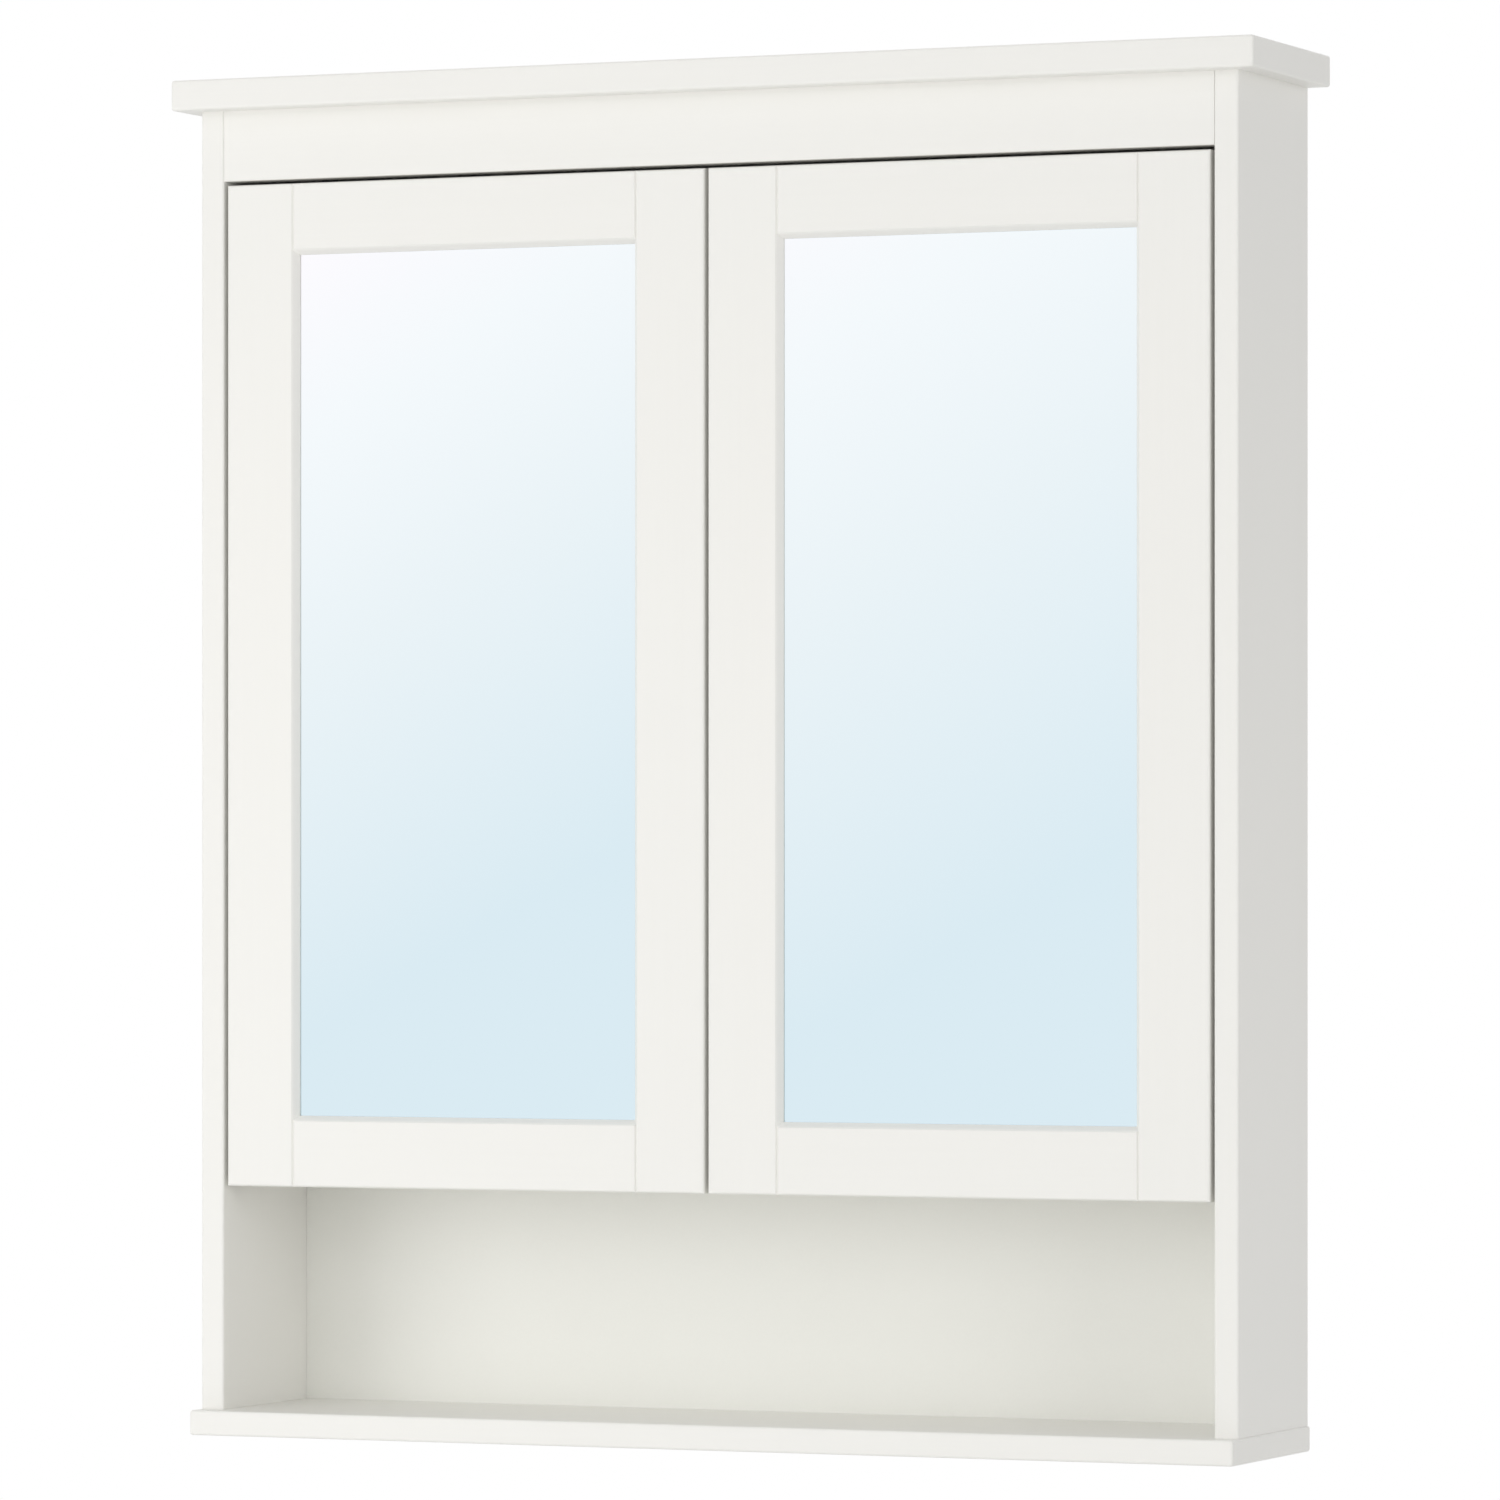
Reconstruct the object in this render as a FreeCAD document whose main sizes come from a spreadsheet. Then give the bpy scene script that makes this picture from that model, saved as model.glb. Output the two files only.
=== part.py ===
"""Two-door mirror cabinet that hangs on a wall, with an open shelf below the doors.

All lengths are in millimetres. The origin is midway between the two wall-screw holes, on the
wall plane. X points right, Y points into the wall, and Z points up, so the doors face -Y.
"""
import FreeCAD, Part
import math
import os

import Sketcher
from FreeCAD import Placement, Rotation, Vector

# ---------------------------------------------------------------- driving dimensions

SIZES = [
    # the whole cabinet
    ("overall_width", 830, "top board, side to side"),
    ("overall_height", 980, "underside of the base to the top face"),
    ("overall_depth", 160, "top and base boards, wall to front"),
    ("screw_drop", 95, "top face down to the wall screws"),
    ("top_side_overhang", 16.5, "top board past the outside of each side"),
    ("base_side_overhang", 1.5, "base board past the outside of each side"),
    ("front_overhang", 16, "top and base boards past the fronts"),
    ("top_thickness", 22, "top board"),
    ("base_thickness", 18, "base board"),
    ("side_thickness", 18, "side panels"),
    ("board_radius", 2, "rounding on the front edges of boards and doors"),
    ("front_rail_height", 51, "fixed rail above the doors"),
    ("front_rail_thickness", 18, "fixed rail above the doors"),
    ("front_rail_setback", 1, "that rail behind the front plane"),
    ("hanging_rail_height", 90, "rail that the wall screws pass through"),
    ("hanging_rail_thickness", 18, "rail that the wall screws pass through"),
    ("wall_hole_radius", 3, "wall screw holes"),
    ("wall_hole_spacing", 600, "between the wall screw holes"),
    ("open_height", 162, "base board up to the doors"),
    ("panel_thickness", 16, "board between the open shelf and the cupboard"),
    ("panel_overlap", 4, "that board's underside above the doors' lower edges"),
    ("panel_clearance", 7, "that board's front edge behind the doors' backs"),
    ("back_thickness", 3, "back panel"),
    ("back_offset", 5, "wall to the back panel"),
    ("groove_depth", 6, "grooves for the back panel"),
    ("groove_play", 0.2, "back panel to each face of its groove"),
    # glass shelves and their pins
    ("glass_thickness", 5, "glass shelves"),
    ("glass_setback", 34, "shelf's front edge behind the front plane"),
    ("glass_end_play", 1.5, "shelf to each side panel"),
    ("glass_back_play", 2, "shelf to the back panel"),
    ("pin_radius", 2.4, "shelf pins"),
    ("pin_grip", 9.5, "shelf pin inside the side panel"),
    ("pin_reach", 8, "shelf pin out of the side panel"),
    ("pin_collar_radius", 4, "shelf pin collar"),
    ("pin_collar_thickness", 1.2, "shelf pin collar"),
    ("pin_row_start", 124, "lowest pin hole above the cupboard's floor"),
    ("pin_pitch", 32, "between pin holes"),
    ("pin_front_setback", 52, "front column of holes behind the front plane"),
    ("pin_back_inset", 24, "back column of holes in front of the back panel"),
    # doors
    ("door_gap", 3, "around and between the doors"),
    ("door_thickness", 19, "door frame"),
    ("stile_width", 52.8, "flat front of an upright"),
    ("door_rail_height", 48.5, "flat front of a crosspiece"),
    ("edge_chamfer", 1.2, "inner front edges of the frame, and both sides of its joints"),
    ("bevel_width", 2.8, "sloping inner edge, across"),
    ("bevel_depth", 5.8, "sloping inner edge, front to back"),
    ("lip_depth", 7, "door front to the back of the lip that holds the mirror"),
    ("rebate_width", 8, "lip over the mirror"),
    ("mirror_thickness", 4, "mirror glass"),
    ("mirror_play", 1, "mirror to the rebate wall"),
    ("backing_thickness", 3, "board behind the mirror"),
    ("layer_play", 0.1, "between lip, mirror, backing and clips"),
    # concealed hinges
    ("hinge_end_distance", 90, "hinge centre to the end of the door"),
    ("swing_play", 0.4, "turning door's edge to the side panel"),
    ("barrel_play", 0.3, "arm's eye to the cup's floor"),
    ("cup_bore_radius", 17.5, "bore in the door for the cup"),
    ("cup_from_axis", 11, "cup's centre to the pin's axis"),
    ("cup_floor", 6.5, "door front to the floor of the cup's bore"),
    ("cup_wall", 0.6, "pressed steel of the cup"),
    ("flange_thickness", 1.2, "cup flange on the door"),
    ("hinge_pin_radius", 1.25, "hinge pin"),
    ("hinge_pin_play", 0.05, "running fit of the arm on its pin"),
    ("barrel_radius", 2.1, "arm's eye around the pin"),
    ("arm_thickness", 2, "pressed steel of the arm"),
    ("arm_width", 12, "arm, along the pin"),
    ("arm_crank", 19, "arm's outermost run to the pin's axis"),
    ("arm_bend_start", 27, "behind the front plane, where the crank turns back to the side"),
    ("arm_bend_end", 45, "behind the front plane, where the arm meets its plate"),
    ("arm_end", 88, "arm's back end behind the front plane"),
    ("crank_radius", 5.5, "the crank's two outer bends"),
    ("knee_radius", 7, "the arm's bend at its plate"),
    ("ear_half", 2.4, "cup's ears to each side of the pin"),
    ("ear_thickness", 3.6, "cup's ears, along the pin"),
    ("ear_play", 0.7, "arm to each ear"),
    ("plate_height", 9, "mounting plate under the arm"),
    ("wing_thickness", 2, "mounting plate's wings"),
    ("wing_half", 6.5, "half the width of the plate's and the cup's wings"),
    ("plate_wing_end", 8, "plate's wings past their screws"),
    ("cup_wing_end", 6.5, "cup's wings past their screws"),
    ("spine_front", 14, "plate's spine in front of its screws"),
    ("spine_back", 34, "plate's spine behind its screws"),
    ("spine_half", 7, "half the width of the plate's spine"),
    ("cup_rim", 1.3, "cup's rim past its bore"),
    ("plate_setback", 56, "plate screws behind the front plane"),
    ("plate_screw_spacing", 32, "between the two plate screws"),
    ("cup_screw_spacing", 48, "between the two cup screws"),
    ("cup_screw_offset", 6, "cup screws past the cup's centre"),
    # fasteners
    ("fastener_play", 0.2, "fastener to the wall of its hole"),
    ("end_play", 0.5, "dowel, bolt or pin to the end of its hole"),
    ("end_inset", 24, "top board's dowels to the front and back of the sides"),
    ("base_screw_front", 26, "front base screws behind the front plane"),
    ("base_screw_back", 42, "back base screws in front of the wall"),
    ("panel_cam_inset", 23, "cupboard floor's cams to its front and back edges"),
    ("rail_dowel_inset", 12, "dowel to the edge of a rail"),
    ("hanging_dowel_height", 26, "lower dowel above the hanging rail's underside"),
    ("hanging_cam_height", 52, "cam above the hanging rail's underside"),
    ("face_dowel_grip", 12, "dowel in the top or base board's face"),
    ("dowel_radius", 4, "wood dowels"),
    ("dowel_grip", 15, "dowel in each board"),
    ("cam_radius", 7.3, "cam locks"),
    ("cam_depth", 12.3, "cam locks"),
    ("cam_distance", 24, "cam centre to the end of its board"),
    ("bolt_radius", 2.9, "cam bolt's smooth shank"),
    ("bolt_thread_radius", 2.4, "cam bolt's threaded end"),
    ("bolt_grip", 10.5, "cam bolt's threaded end"),
    ("wood_screw_radius", 1.7, "hinge screws"),
    ("wood_screw_length", 13, "hinge screws, under the head"),
    ("wood_screw_head", 3.5, "hinge screw head radius"),
    ("pan_head_height", 1.6, "heads of the hinge and clip screws"),
    ("base_screw_radius", 2.3, "screws through the base board"),
    ("base_screw_length", 46, "screws through the base board"),
    ("base_screw_head", 4.8, "radius of the same screws' heads"),
    ("base_head_height", 3.2, "the same screws' sunk heads"),
    ("base_head_sink", 0.4, "those heads below the base's underside"),
    ("clip_screw_radius", 1.4, "backing clip screws"),
    ("clip_screw_length", 9, "backing clip screws, under the head"),
    ("clip_screw_head", 2.6, "backing clip screw head radius"),
    ("clip_play", 0.2, "clip's web to the rebate wall"),
    ("clip_thickness", 1.2, "backing clips"),
    ("clip_width", 12, "backing clips"),
    ("clip_foot", 11, "clip's foot on the frame"),
    ("clip_tongue", 7, "clip's tongue over the backing"),
    ("arm_screw_radius", 2.4, "screws that hold and adjust the arm"),
    ("arm_screw_length", 5.5, "the same screws, under the head"),
    ("arm_screw_head", 4, "radius of the same screws' heads"),
    ("arm_head_height", 2, "the same screws' heads"),
    ("clamp_screw", 80, "arm's back screw behind the front plane"),
    ("adjust_screw", 58, "arm's front screw behind the front plane"),
    ("bumper_radius", 4, "door bumpers"),
    ("bumper_stem", 8, "bumper in the board"),
    ("bumper_stem_radius", 2.4, "bumper in the board"),
    ("bumper_from_centre", 45, "bumper from the cabinet's middle"),
    ("bumper_play", 0.3, "bumper to the closed door"),
]

doc = FreeCAD.newDocument("wall_cabinet")
sheet = doc.addObject("Spreadsheet::Sheet", "Sizes")


class Dim:
    """A length with its value in mm and the sheet expression that it comes from."""

    def __init__(self, value, text):
        self.value = value
        self.text = text

    def __add__(self, other):
        other = as_dim(other)
        return Dim(self.value + other.value, f"({self.text} + {other.text})")

    def __sub__(self, other):
        other = as_dim(other)
        return Dim(self.value - other.value, f"({self.text} - {other.text})")

    def __mul__(self, other):
        other = as_dim(other)
        return Dim(self.value * other.value, f"({self.text} * {other.text})")

    def __truediv__(self, other):
        other = as_dim(other)
        return Dim(self.value / other.value, f"({self.text} / {other.text})")

    def __neg__(self):
        return Dim(-self.value, f"(0 - {self.text})")


def as_dim(size):
    """Turn a bare number into a Dim, and leave a Dim as it is."""
    if isinstance(size, Dim):
        return size
    return Dim(size, f"({size})")


def fill_sheet():
    """Write each driving dimension to the sheet and return the Dims by name."""
    sizes = {}
    for row, (alias, value, meaning) in enumerate(SIZES, start=1):
        sheet.set(f"A{row}", alias)
        sheet.set(f"B{row}", str(value))
        sheet.setAlias(f"B{row}", alias)
        sheet.set(f"C{row}", meaning)
        sizes[alias] = Dim(value, f"Sizes.{alias}")
    doc.recompute()
    return sizes


S = fill_sheet()
ZERO = as_dim(0)

# ---------------------------------------------------------------- places worked out from the sizes

body_half = S["overall_width"] / 2 - S["top_side_overhang"]      # outside of a side panel
inner_half = body_half - S["side_thickness"]                     # inside of a side panel
base_half = body_half + S["base_side_overhang"]
front_y = S["front_overhang"] - S["overall_depth"]               # front plane of sides and doors
top_z = S["screw_drop"]
bottom_z = top_z - S["overall_height"]
under_top_z = top_z - S["top_thickness"]
floor_z = bottom_z + S["base_thickness"]
front_rail_z = under_top_z - S["front_rail_height"]
hanging_rail_z = under_top_z - S["hanging_rail_height"]
door_top_z = front_rail_z - S["door_gap"]
door_bottom_z = floor_z + S["open_height"]
door_height = door_top_z - door_bottom_z
door_width = inner_half - S["door_gap"] * 1.5
panel_z = door_bottom_z + S["panel_overlap"]
cupboard_floor_z = panel_z + S["panel_thickness"]
back_front_y = -(S["back_offset"] + S["back_thickness"])
panel_front_y = front_y + S["door_thickness"] + S["panel_clearance"]
side_height = under_top_z - floor_z
hinge_levels = [door_bottom_z + S["hinge_end_distance"], door_top_z - S["hinge_end_distance"]]
front_rail_front = front_y + S["front_rail_setback"]
front_rail_back = front_rail_front + S["front_rail_thickness"]
glass_front_y = front_y + S["glass_setback"]
pin_columns_y = [front_y + S["pin_front_setback"], back_front_y - S["pin_back_inset"]]
SIDES = [("left", -1), ("right", 1)]

# The hinge pin stands just behind the cup's floor. It is as far from the side panel as the
# turning door's rounded corner needs.
cup_depth = S["door_thickness"] - S["cup_floor"]
axis_depth = S["cup_floor"] + S["cup_wall"] + S["barrel_radius"] + S["barrel_play"]
corner_in = S["door_gap"] + S["board_radius"]
corner_back = axis_depth - S["board_radius"]
corner_room = S["board_radius"] + S["swing_play"]
axis_from_side = ((corner_in * corner_in + corner_back * corner_back - corner_room * corner_room)
                  / ((S["door_gap"] - S["swing_play"]) * 2))
cup_from_side = axis_from_side + S["cup_from_axis"]
screw_from_side = cup_from_side + S["cup_screw_offset"]
cup_from_edge = cup_from_side - S["door_gap"]                   # of the door
crank_from_side = axis_from_side + S["arm_crank"]

# Rows of shelf pins start above the cupboard's floor and stop below the upper hinges. The
# shelves lie near the thirds of the cupboard's opening.
HINGE_ROOM = 60
first_row_z = cupboard_floor_z + S["pin_row_start"]
rows_height = hinge_levels[1].value - HINGE_ROOM - first_row_z.value
HOLE_ROWS = int(rows_height / S["pin_pitch"].value) + 1
opening_height = (front_rail_z - cupboard_floor_z).value


def row_near(share):
    """The row of pin holes next below a share of the opening, counted from the lowest."""
    height = opening_height * share - S["pin_row_start"].value
    return min(HOLE_ROWS - 1, max(0, int(height / S["pin_pitch"].value)))


LOWER_SHELF_ROW = row_near(1 / 3)
UPPER_SHELF_ROW = row_near(2 / 3)


# ---------------------------------------------------------------- modelling helpers

def bind(thing, prop, size):
    """Tie one property of an object to the sheet."""
    thing.setExpression(prop, as_dim(size).text)


def place(thing, x=ZERO, y=ZERO, z=ZERO, rotation=None):
    """Give an object a turned placement whose position is tied to the sheet."""
    x, y, z = as_dim(x), as_dim(y), as_dim(z)
    thing.Placement = Placement(Vector(x.value, y.value, z.value), rotation or Rotation())
    for axis, size in (("x", x), ("y", y), ("z", z)):
        bind(thing, f"Placement.Base.{axis}", size)


TO_X = Rotation(Vector(0, 0, 1), Vector(1, 0, 0))
TO_MINUS_X = Rotation(Vector(0, 0, 1), Vector(-1, 0, 0))
TO_Y = Rotation(Vector(0, 0, 1), Vector(0, 1, 0))
TO_MINUS_Y = Rotation(Vector(0, 0, 1), Vector(0, -1, 0))
TO_MINUS_Z = Rotation(Vector(1, 0, 0), 180)


def inward(side):
    """The rotation that turns +Z to point from a side panel to the cabinet's middle."""
    return TO_X if side < 0 else TO_MINUS_X


def box(name, x_range, y_range, z_range):
    """A Part::Box between two limits on each axis, given in either order."""
    piece = doc.addObject("Part::Box", name)
    lows = []
    for prop, limits in (("Length", x_range), ("Width", y_range), ("Height", z_range)):
        low, high = sorted((as_dim(limit) for limit in limits), key=lambda size: size.value)
        lows.append(low)
        bind(piece, prop, high - low)
    place(piece, *lows)
    return piece


def cylinder(name, radius, length, x=ZERO, y=ZERO, z=ZERO, rotation=None):
    """A Part::Cylinder whose axis starts at a point and runs along the turned +Z."""
    piece = doc.addObject("Part::Cylinder", name)
    bind(piece, "Radius", radius)
    bind(piece, "Height", length)
    place(piece, x, y, z, rotation)
    return piece


def fuse(name, pieces):
    """Join pieces into one solid."""
    whole = doc.addObject("Part::MultiFuse", name)
    whole.Shapes = pieces
    whole.Refine = True
    return whole


def cut(name, base, tools):
    """Take tools away from a base."""
    tool = tools[0] if len(tools) == 1 else fuse(name + "_tools", tools)
    result = doc.addObject("Part::Cut", name)
    result.Base = base
    result.Tool = tool
    return result


def linked_copy(name, prototype, x, y, z, rotation):
    """A copy of a prototype, placed on top of the prototype's own placement."""
    link = doc.addObject("App::Link", name)
    link.LinkedObject = prototype
    link.LinkTransform = True
    place(link, x, y, z, rotation)
    return link


def copies(label, prototype, spots):
    """A node of separate solids: one linked copy of a prototype at each spot."""
    links = []
    for number, (x, y, z, rotation) in enumerate(spots, start=1):
        links.append(linked_copy(f"{label}_{number}", prototype, x, y, z, rotation))
    return group(label, links)


def group(label, pieces):
    """A node that holds several separate solids."""
    compound = doc.addObject("Part::Compound", label)
    compound.Links = pieces
    return node(label, compound)


nodes = []


def node(label, thing):
    """Register a finished sub-part under the name of its file."""
    thing.Label = label
    nodes.append(thing)
    return thing


def new_body(label, z=ZERO):
    """An empty body whose underside level is its placement."""
    body = doc.addObject("PartDesign::Body", label)
    place(body, z=z)
    return node(label, body)


def sketch_on(body, role, offset=ZERO):
    """A sketch on one of the body's own planes, moved along that plane's normal."""
    name = f"{body.Name}_sketch{len(body.Group) + 1}"
    sketch = body.newObject("Sketcher::SketchObject", name)
    plane = [feature for feature in body.Origin.OriginFeatures if feature.Role == role][0]
    sketch.AttachmentSupport = [(plane, "")]
    sketch.MapMode = "FlatFace"
    bind(sketch, "AttachmentOffset.Base.z", offset)
    return sketch


def fix_point(sketch, geometry, point, u, v):
    """Hold one point of a sketch at its two coordinates."""
    for kind, size in (("DistanceX", as_dim(u)), ("DistanceY", as_dim(v))):
        number = sketch.addConstraint(Sketcher.Constraint(kind, geometry, point, size.value))
        sketch.setExpression(f"Constraints[{number}]", size.text)


def add_outline(sketch, points):
    """A closed outline through points given as pairs of sizes."""
    points = [(as_dim(u), as_dim(v)) for u, v in points]
    first = len(sketch.Geometry)
    total = len(points)
    ends = [Vector(u.value, v.value, 0) for u, v in points]
    for index in range(total):
        sketch.addGeometry(Part.LineSegment(ends[index], ends[(index + 1) % total]), False)
    for index in range(total):
        following = first + (index + 1) % total
        sketch.addConstraint(Sketcher.Constraint("Coincident", first + index, 2, following, 1))
    for index, (u, v) in enumerate(points):
        fix_point(sketch, first + index, 1, u, v)


def add_circle(sketch, u, v, radius):
    """A circle at two coordinates with its radius tied to the sheet."""
    u, v, radius = as_dim(u), as_dim(v), as_dim(radius)
    circle = Part.Circle(Vector(u.value, v.value, 0), Vector(0, 0, 1), radius.value)
    number = sketch.addGeometry(circle, False)
    fix_point(sketch, number, 3, u, v)
    limit = sketch.addConstraint(Sketcher.Constraint("Radius", number, radius.value))
    sketch.setExpression(f"Constraints[{limit}]", radius.text)


def rectangle(u_low, v_low, u_high, v_high):
    """The four corners of an upright rectangle."""
    return [(u_low, v_low), (u_high, v_low), (u_high, v_high), (u_low, v_high)]


def pad(body, points, length, role="XY_Plane", offset=ZERO, reverse=False):
    """Raise an outline from one of the body's planes."""
    sketch = sketch_on(body, role, offset)
    add_outline(sketch, points)
    feature = body.newObject("PartDesign::Pad", sketch.Name + "_pad")
    feature.Profile = sketch
    feature.Reversed = reverse
    bind(feature, "Length", length)
    return feature


def pocket(body, depth, role, offset=ZERO, reverse=False, outlines=(), circles=()):
    """Sink outlines or circles from one of the body's planes, against its normal."""
    sketch = sketch_on(body, role, offset)
    for points in outlines:
        add_outline(sketch, points)
    for circle in circles:
        add_circle(sketch, *circle)
    feature = body.newObject("PartDesign::Pocket", sketch.Name + "_pocket")
    feature.Profile = sketch
    feature.Reversed = reverse
    bind(feature, "Length", depth)
    return feature


def repeat_up(body, feature, pitch, count):
    """Repeat one pocket upwards at an even pitch."""
    pattern = body.newObject("PartDesign::LinearPattern", feature.Name + "_row")
    pattern.Originals = [feature]
    axis = [part for part in body.Origin.OriginFeatures if part.Role == "Z_Axis"][0]
    pattern.Direction = (axis, [""])
    pattern.Occurrences = count
    bind(pattern, "Length", pitch * (count - 1))
    body.Tip = pattern
    return pattern


def round_edges(body, radius, wanted):
    """Round the straight edges of a body's last feature that a test accepts."""
    doc.recompute()
    base = body.Tip
    names = []
    for number, edge in enumerate(base.Shape.Edges, start=1):
        ends = [vertex.Point for vertex in edge.Vertexes]
        if len(ends) == 2 and wanted(*ends):
            names.append(f"Edge{number}")
    feature = body.newObject("PartDesign::Fillet", body.Name + "_rounding")
    feature.Base = (base, names)
    bind(feature, "Radius", radius)
    return feature


def level(value, target):
    """Whether two plain numbers are the same place."""
    return abs(value - target) < 1e-4


# ---------------------------------------------------------------- joints between boards

TOP_DOWELS_Y = [front_y + S["end_inset"], -S["end_inset"]]
TOP_CAM_Y = front_y / 2
BASE_SCREWS_Y = [front_y + S["base_screw_front"], -S["base_screw_back"]]
BASE_DOWEL_Y = (BASE_SCREWS_Y[0] + BASE_SCREWS_Y[1]) / 2
PANEL_CAMS_Y = [panel_front_y + S["panel_cam_inset"], back_front_y - S["panel_cam_inset"]]
PANEL_DOWEL_Y = (PANEL_CAMS_Y[0] + PANEL_CAMS_Y[1]) / 2

side_middle = body_half - S["side_thickness"] / 2
panel_mid_z = panel_z + S["panel_thickness"] / 2
front_rail_mid_y = front_rail_front + S["front_rail_thickness"] / 2
front_rail_cam_z = front_rail_z + S["front_rail_height"] / 2
front_rail_dowels_z = [front_rail_z + S["rail_dowel_inset"], under_top_z - S["rail_dowel_inset"]]
hanging_rail_mid_y = -S["hanging_rail_thickness"] / 2
hanging_rail_dowels_z = [hanging_rail_z + S["hanging_dowel_height"],
                         under_top_z - S["rail_dowel_inset"]]
hanging_rail_cam_z = hanging_rail_z + S["hanging_cam_height"]
dowel_hole = S["dowel_radius"] + S["fastener_play"]
cam_hole = S["cam_radius"] + S["fastener_play"]
bolt_hole = S["bolt_radius"] + S["fastener_play"] * 2
thread_hole = S["bolt_thread_radius"] + S["fastener_play"]
screw_hole = S["wood_screw_radius"] + S["fastener_play"]
grip_hole = S["dowel_grip"] + S["end_play"]
face_grip_hole = S["face_dowel_grip"] + S["end_play"]
end_grip_hole = S["dowel_grip"] * 2 - S["face_dowel_grip"] + S["end_play"]
bolt_reach = S["cam_distance"] + 4                 # smooth channel, past the cam's centre
base_head_hole = S["base_head_sink"] + S["base_head_height"] + S["fastener_play"]
bumper_hole = S["bumper_stem_radius"] + S["fastener_play"]
clip_hole = S["clip_screw_radius"] + S["fastener_play"]

# Each horizontal joint is (y, z) on the inner face of both side panels.
cam_joints = [(y, panel_mid_z) for y in PANEL_CAMS_Y]
cam_joints.append((front_rail_mid_y, front_rail_cam_z))
cam_joints.append((hanging_rail_mid_y, hanging_rail_cam_z))
dowel_joints = [(PANEL_DOWEL_Y, panel_mid_z)]
dowel_joints += [(front_rail_mid_y, z) for z in front_rail_dowels_z]
dowel_joints += [(hanging_rail_mid_y, z) for z in hanging_rail_dowels_z]


# ---------------------------------------------------------------- carcass

def make_side_panel(name, side):
    """A side panel with its groove, pin holes and bores."""
    body = new_body(f"{name}_side_panel", floor_z)
    inner, outer = inner_half * side, body_half * side
    pad(body, rectangle(inner, front_y, outer, ZERO), side_height)
    front = front_y.value
    round_edges(body, S["board_radius"],
                lambda a, b: level(a.y, front) and level(b.y, front) and level(a.x, b.x))
    groove = rectangle(inner, back_front_y - S["groove_play"],
                       inner + S["groove_depth"] * side, -S["back_offset"] + S["groove_play"])
    groove_height = hanging_rail_z + S["groove_depth"] - floor_z
    pocket(body, groove_height, "XY_Plane", reverse=True, outlines=[groove])

    # A pocket sinks against its plane's normal, which is +X here.
    into_panel = side > 0
    pin_hole = S["pin_radius"] + S["fastener_play"]
    columns = [(y, first_row_z - floor_z, pin_hole) for y in pin_columns_y]
    pins = pocket(body, S["pin_grip"] + S["end_play"], "YZ_Plane", inner, into_panel,
                  circles=columns)
    repeat_up(body, pins, S["pin_pitch"], HOLE_ROWS)
    threads = [(y, z - floor_z, thread_hole) for y, z in cam_joints]
    pocket(body, S["bolt_grip"] + S["end_play"], "YZ_Plane", inner, into_panel, circles=threads)
    dowels = [(y, z - floor_z, dowel_hole) for y, z in dowel_joints]
    pocket(body, S["dowel_grip"] + S["end_play"], "YZ_Plane", inner, into_panel, circles=dowels)
    screws = []
    for hinge_z in hinge_levels:
        for step in (-1, 1):
            screw_z = hinge_z + S["plate_screw_spacing"] / 2 * step - floor_z
            screws.append((front_y + S["plate_setback"], screw_z, screw_hole))
    pocket(body, S["wood_screw_length"], "YZ_Plane", inner, into_panel, circles=screws)
    cam = [(TOP_CAM_Y, side_height - S["cam_distance"], cam_hole)]
    pocket(body, S["cam_depth"] + S["fastener_play"], "YZ_Plane", inner, into_panel, circles=cam)

    middle = side_middle * side
    top_holes = [(middle, y, dowel_hole) for y in TOP_DOWELS_Y]
    pocket(body, end_grip_hole, "XY_Plane", side_height, circles=top_holes)
    pocket(body, bolt_reach, "XY_Plane", side_height,
           circles=[(middle, TOP_CAM_Y, bolt_hole)])
    pocket(body, end_grip_hole, "XY_Plane", reverse=True,
           circles=[(middle, BASE_DOWEL_Y, dowel_hole)])
    base_screws = [(middle, y, S["base_screw_radius"] + S["fastener_play"])
                   for y in BASE_SCREWS_Y]
    pocket(body, S["base_screw_length"], "XY_Plane", reverse=True, circles=base_screws)


def outer_edge_test(front, ends):
    """A test for the edges round a board's front and both ends, at plain numbers."""
    def is_outer(a, b):
        upright = level(a.x, b.x) and level(a.y, b.y) and level(a.y, front)
        along_front = level(a.y, front) and level(b.y, front) and level(a.z, b.z)
        along_end = level(abs(a.x), ends) and level(a.x, b.x) and level(a.z, b.z)
        return upright or along_front or along_end

    return is_outer


def make_top_panel():
    """The top board, with its front and end edges rounded."""
    body = new_body("top_panel", under_top_z)
    half = S["overall_width"] / 2
    pad(body, rectangle(-half, -S["overall_depth"], half, ZERO), S["top_thickness"])
    front = -S["overall_depth"].value
    round_edges(body, S["board_radius"], outer_edge_test(front, half.value))
    for side in (-1, 1):
        middle = side_middle * side
        dowels = [(middle, y, dowel_hole) for y in TOP_DOWELS_Y]
        pocket(body, face_grip_hole, "XY_Plane", reverse=True, circles=dowels)
        pocket(body, S["bolt_grip"] + S["end_play"], "XY_Plane", reverse=True,
               circles=[(middle, TOP_CAM_Y, thread_hole)])


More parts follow.
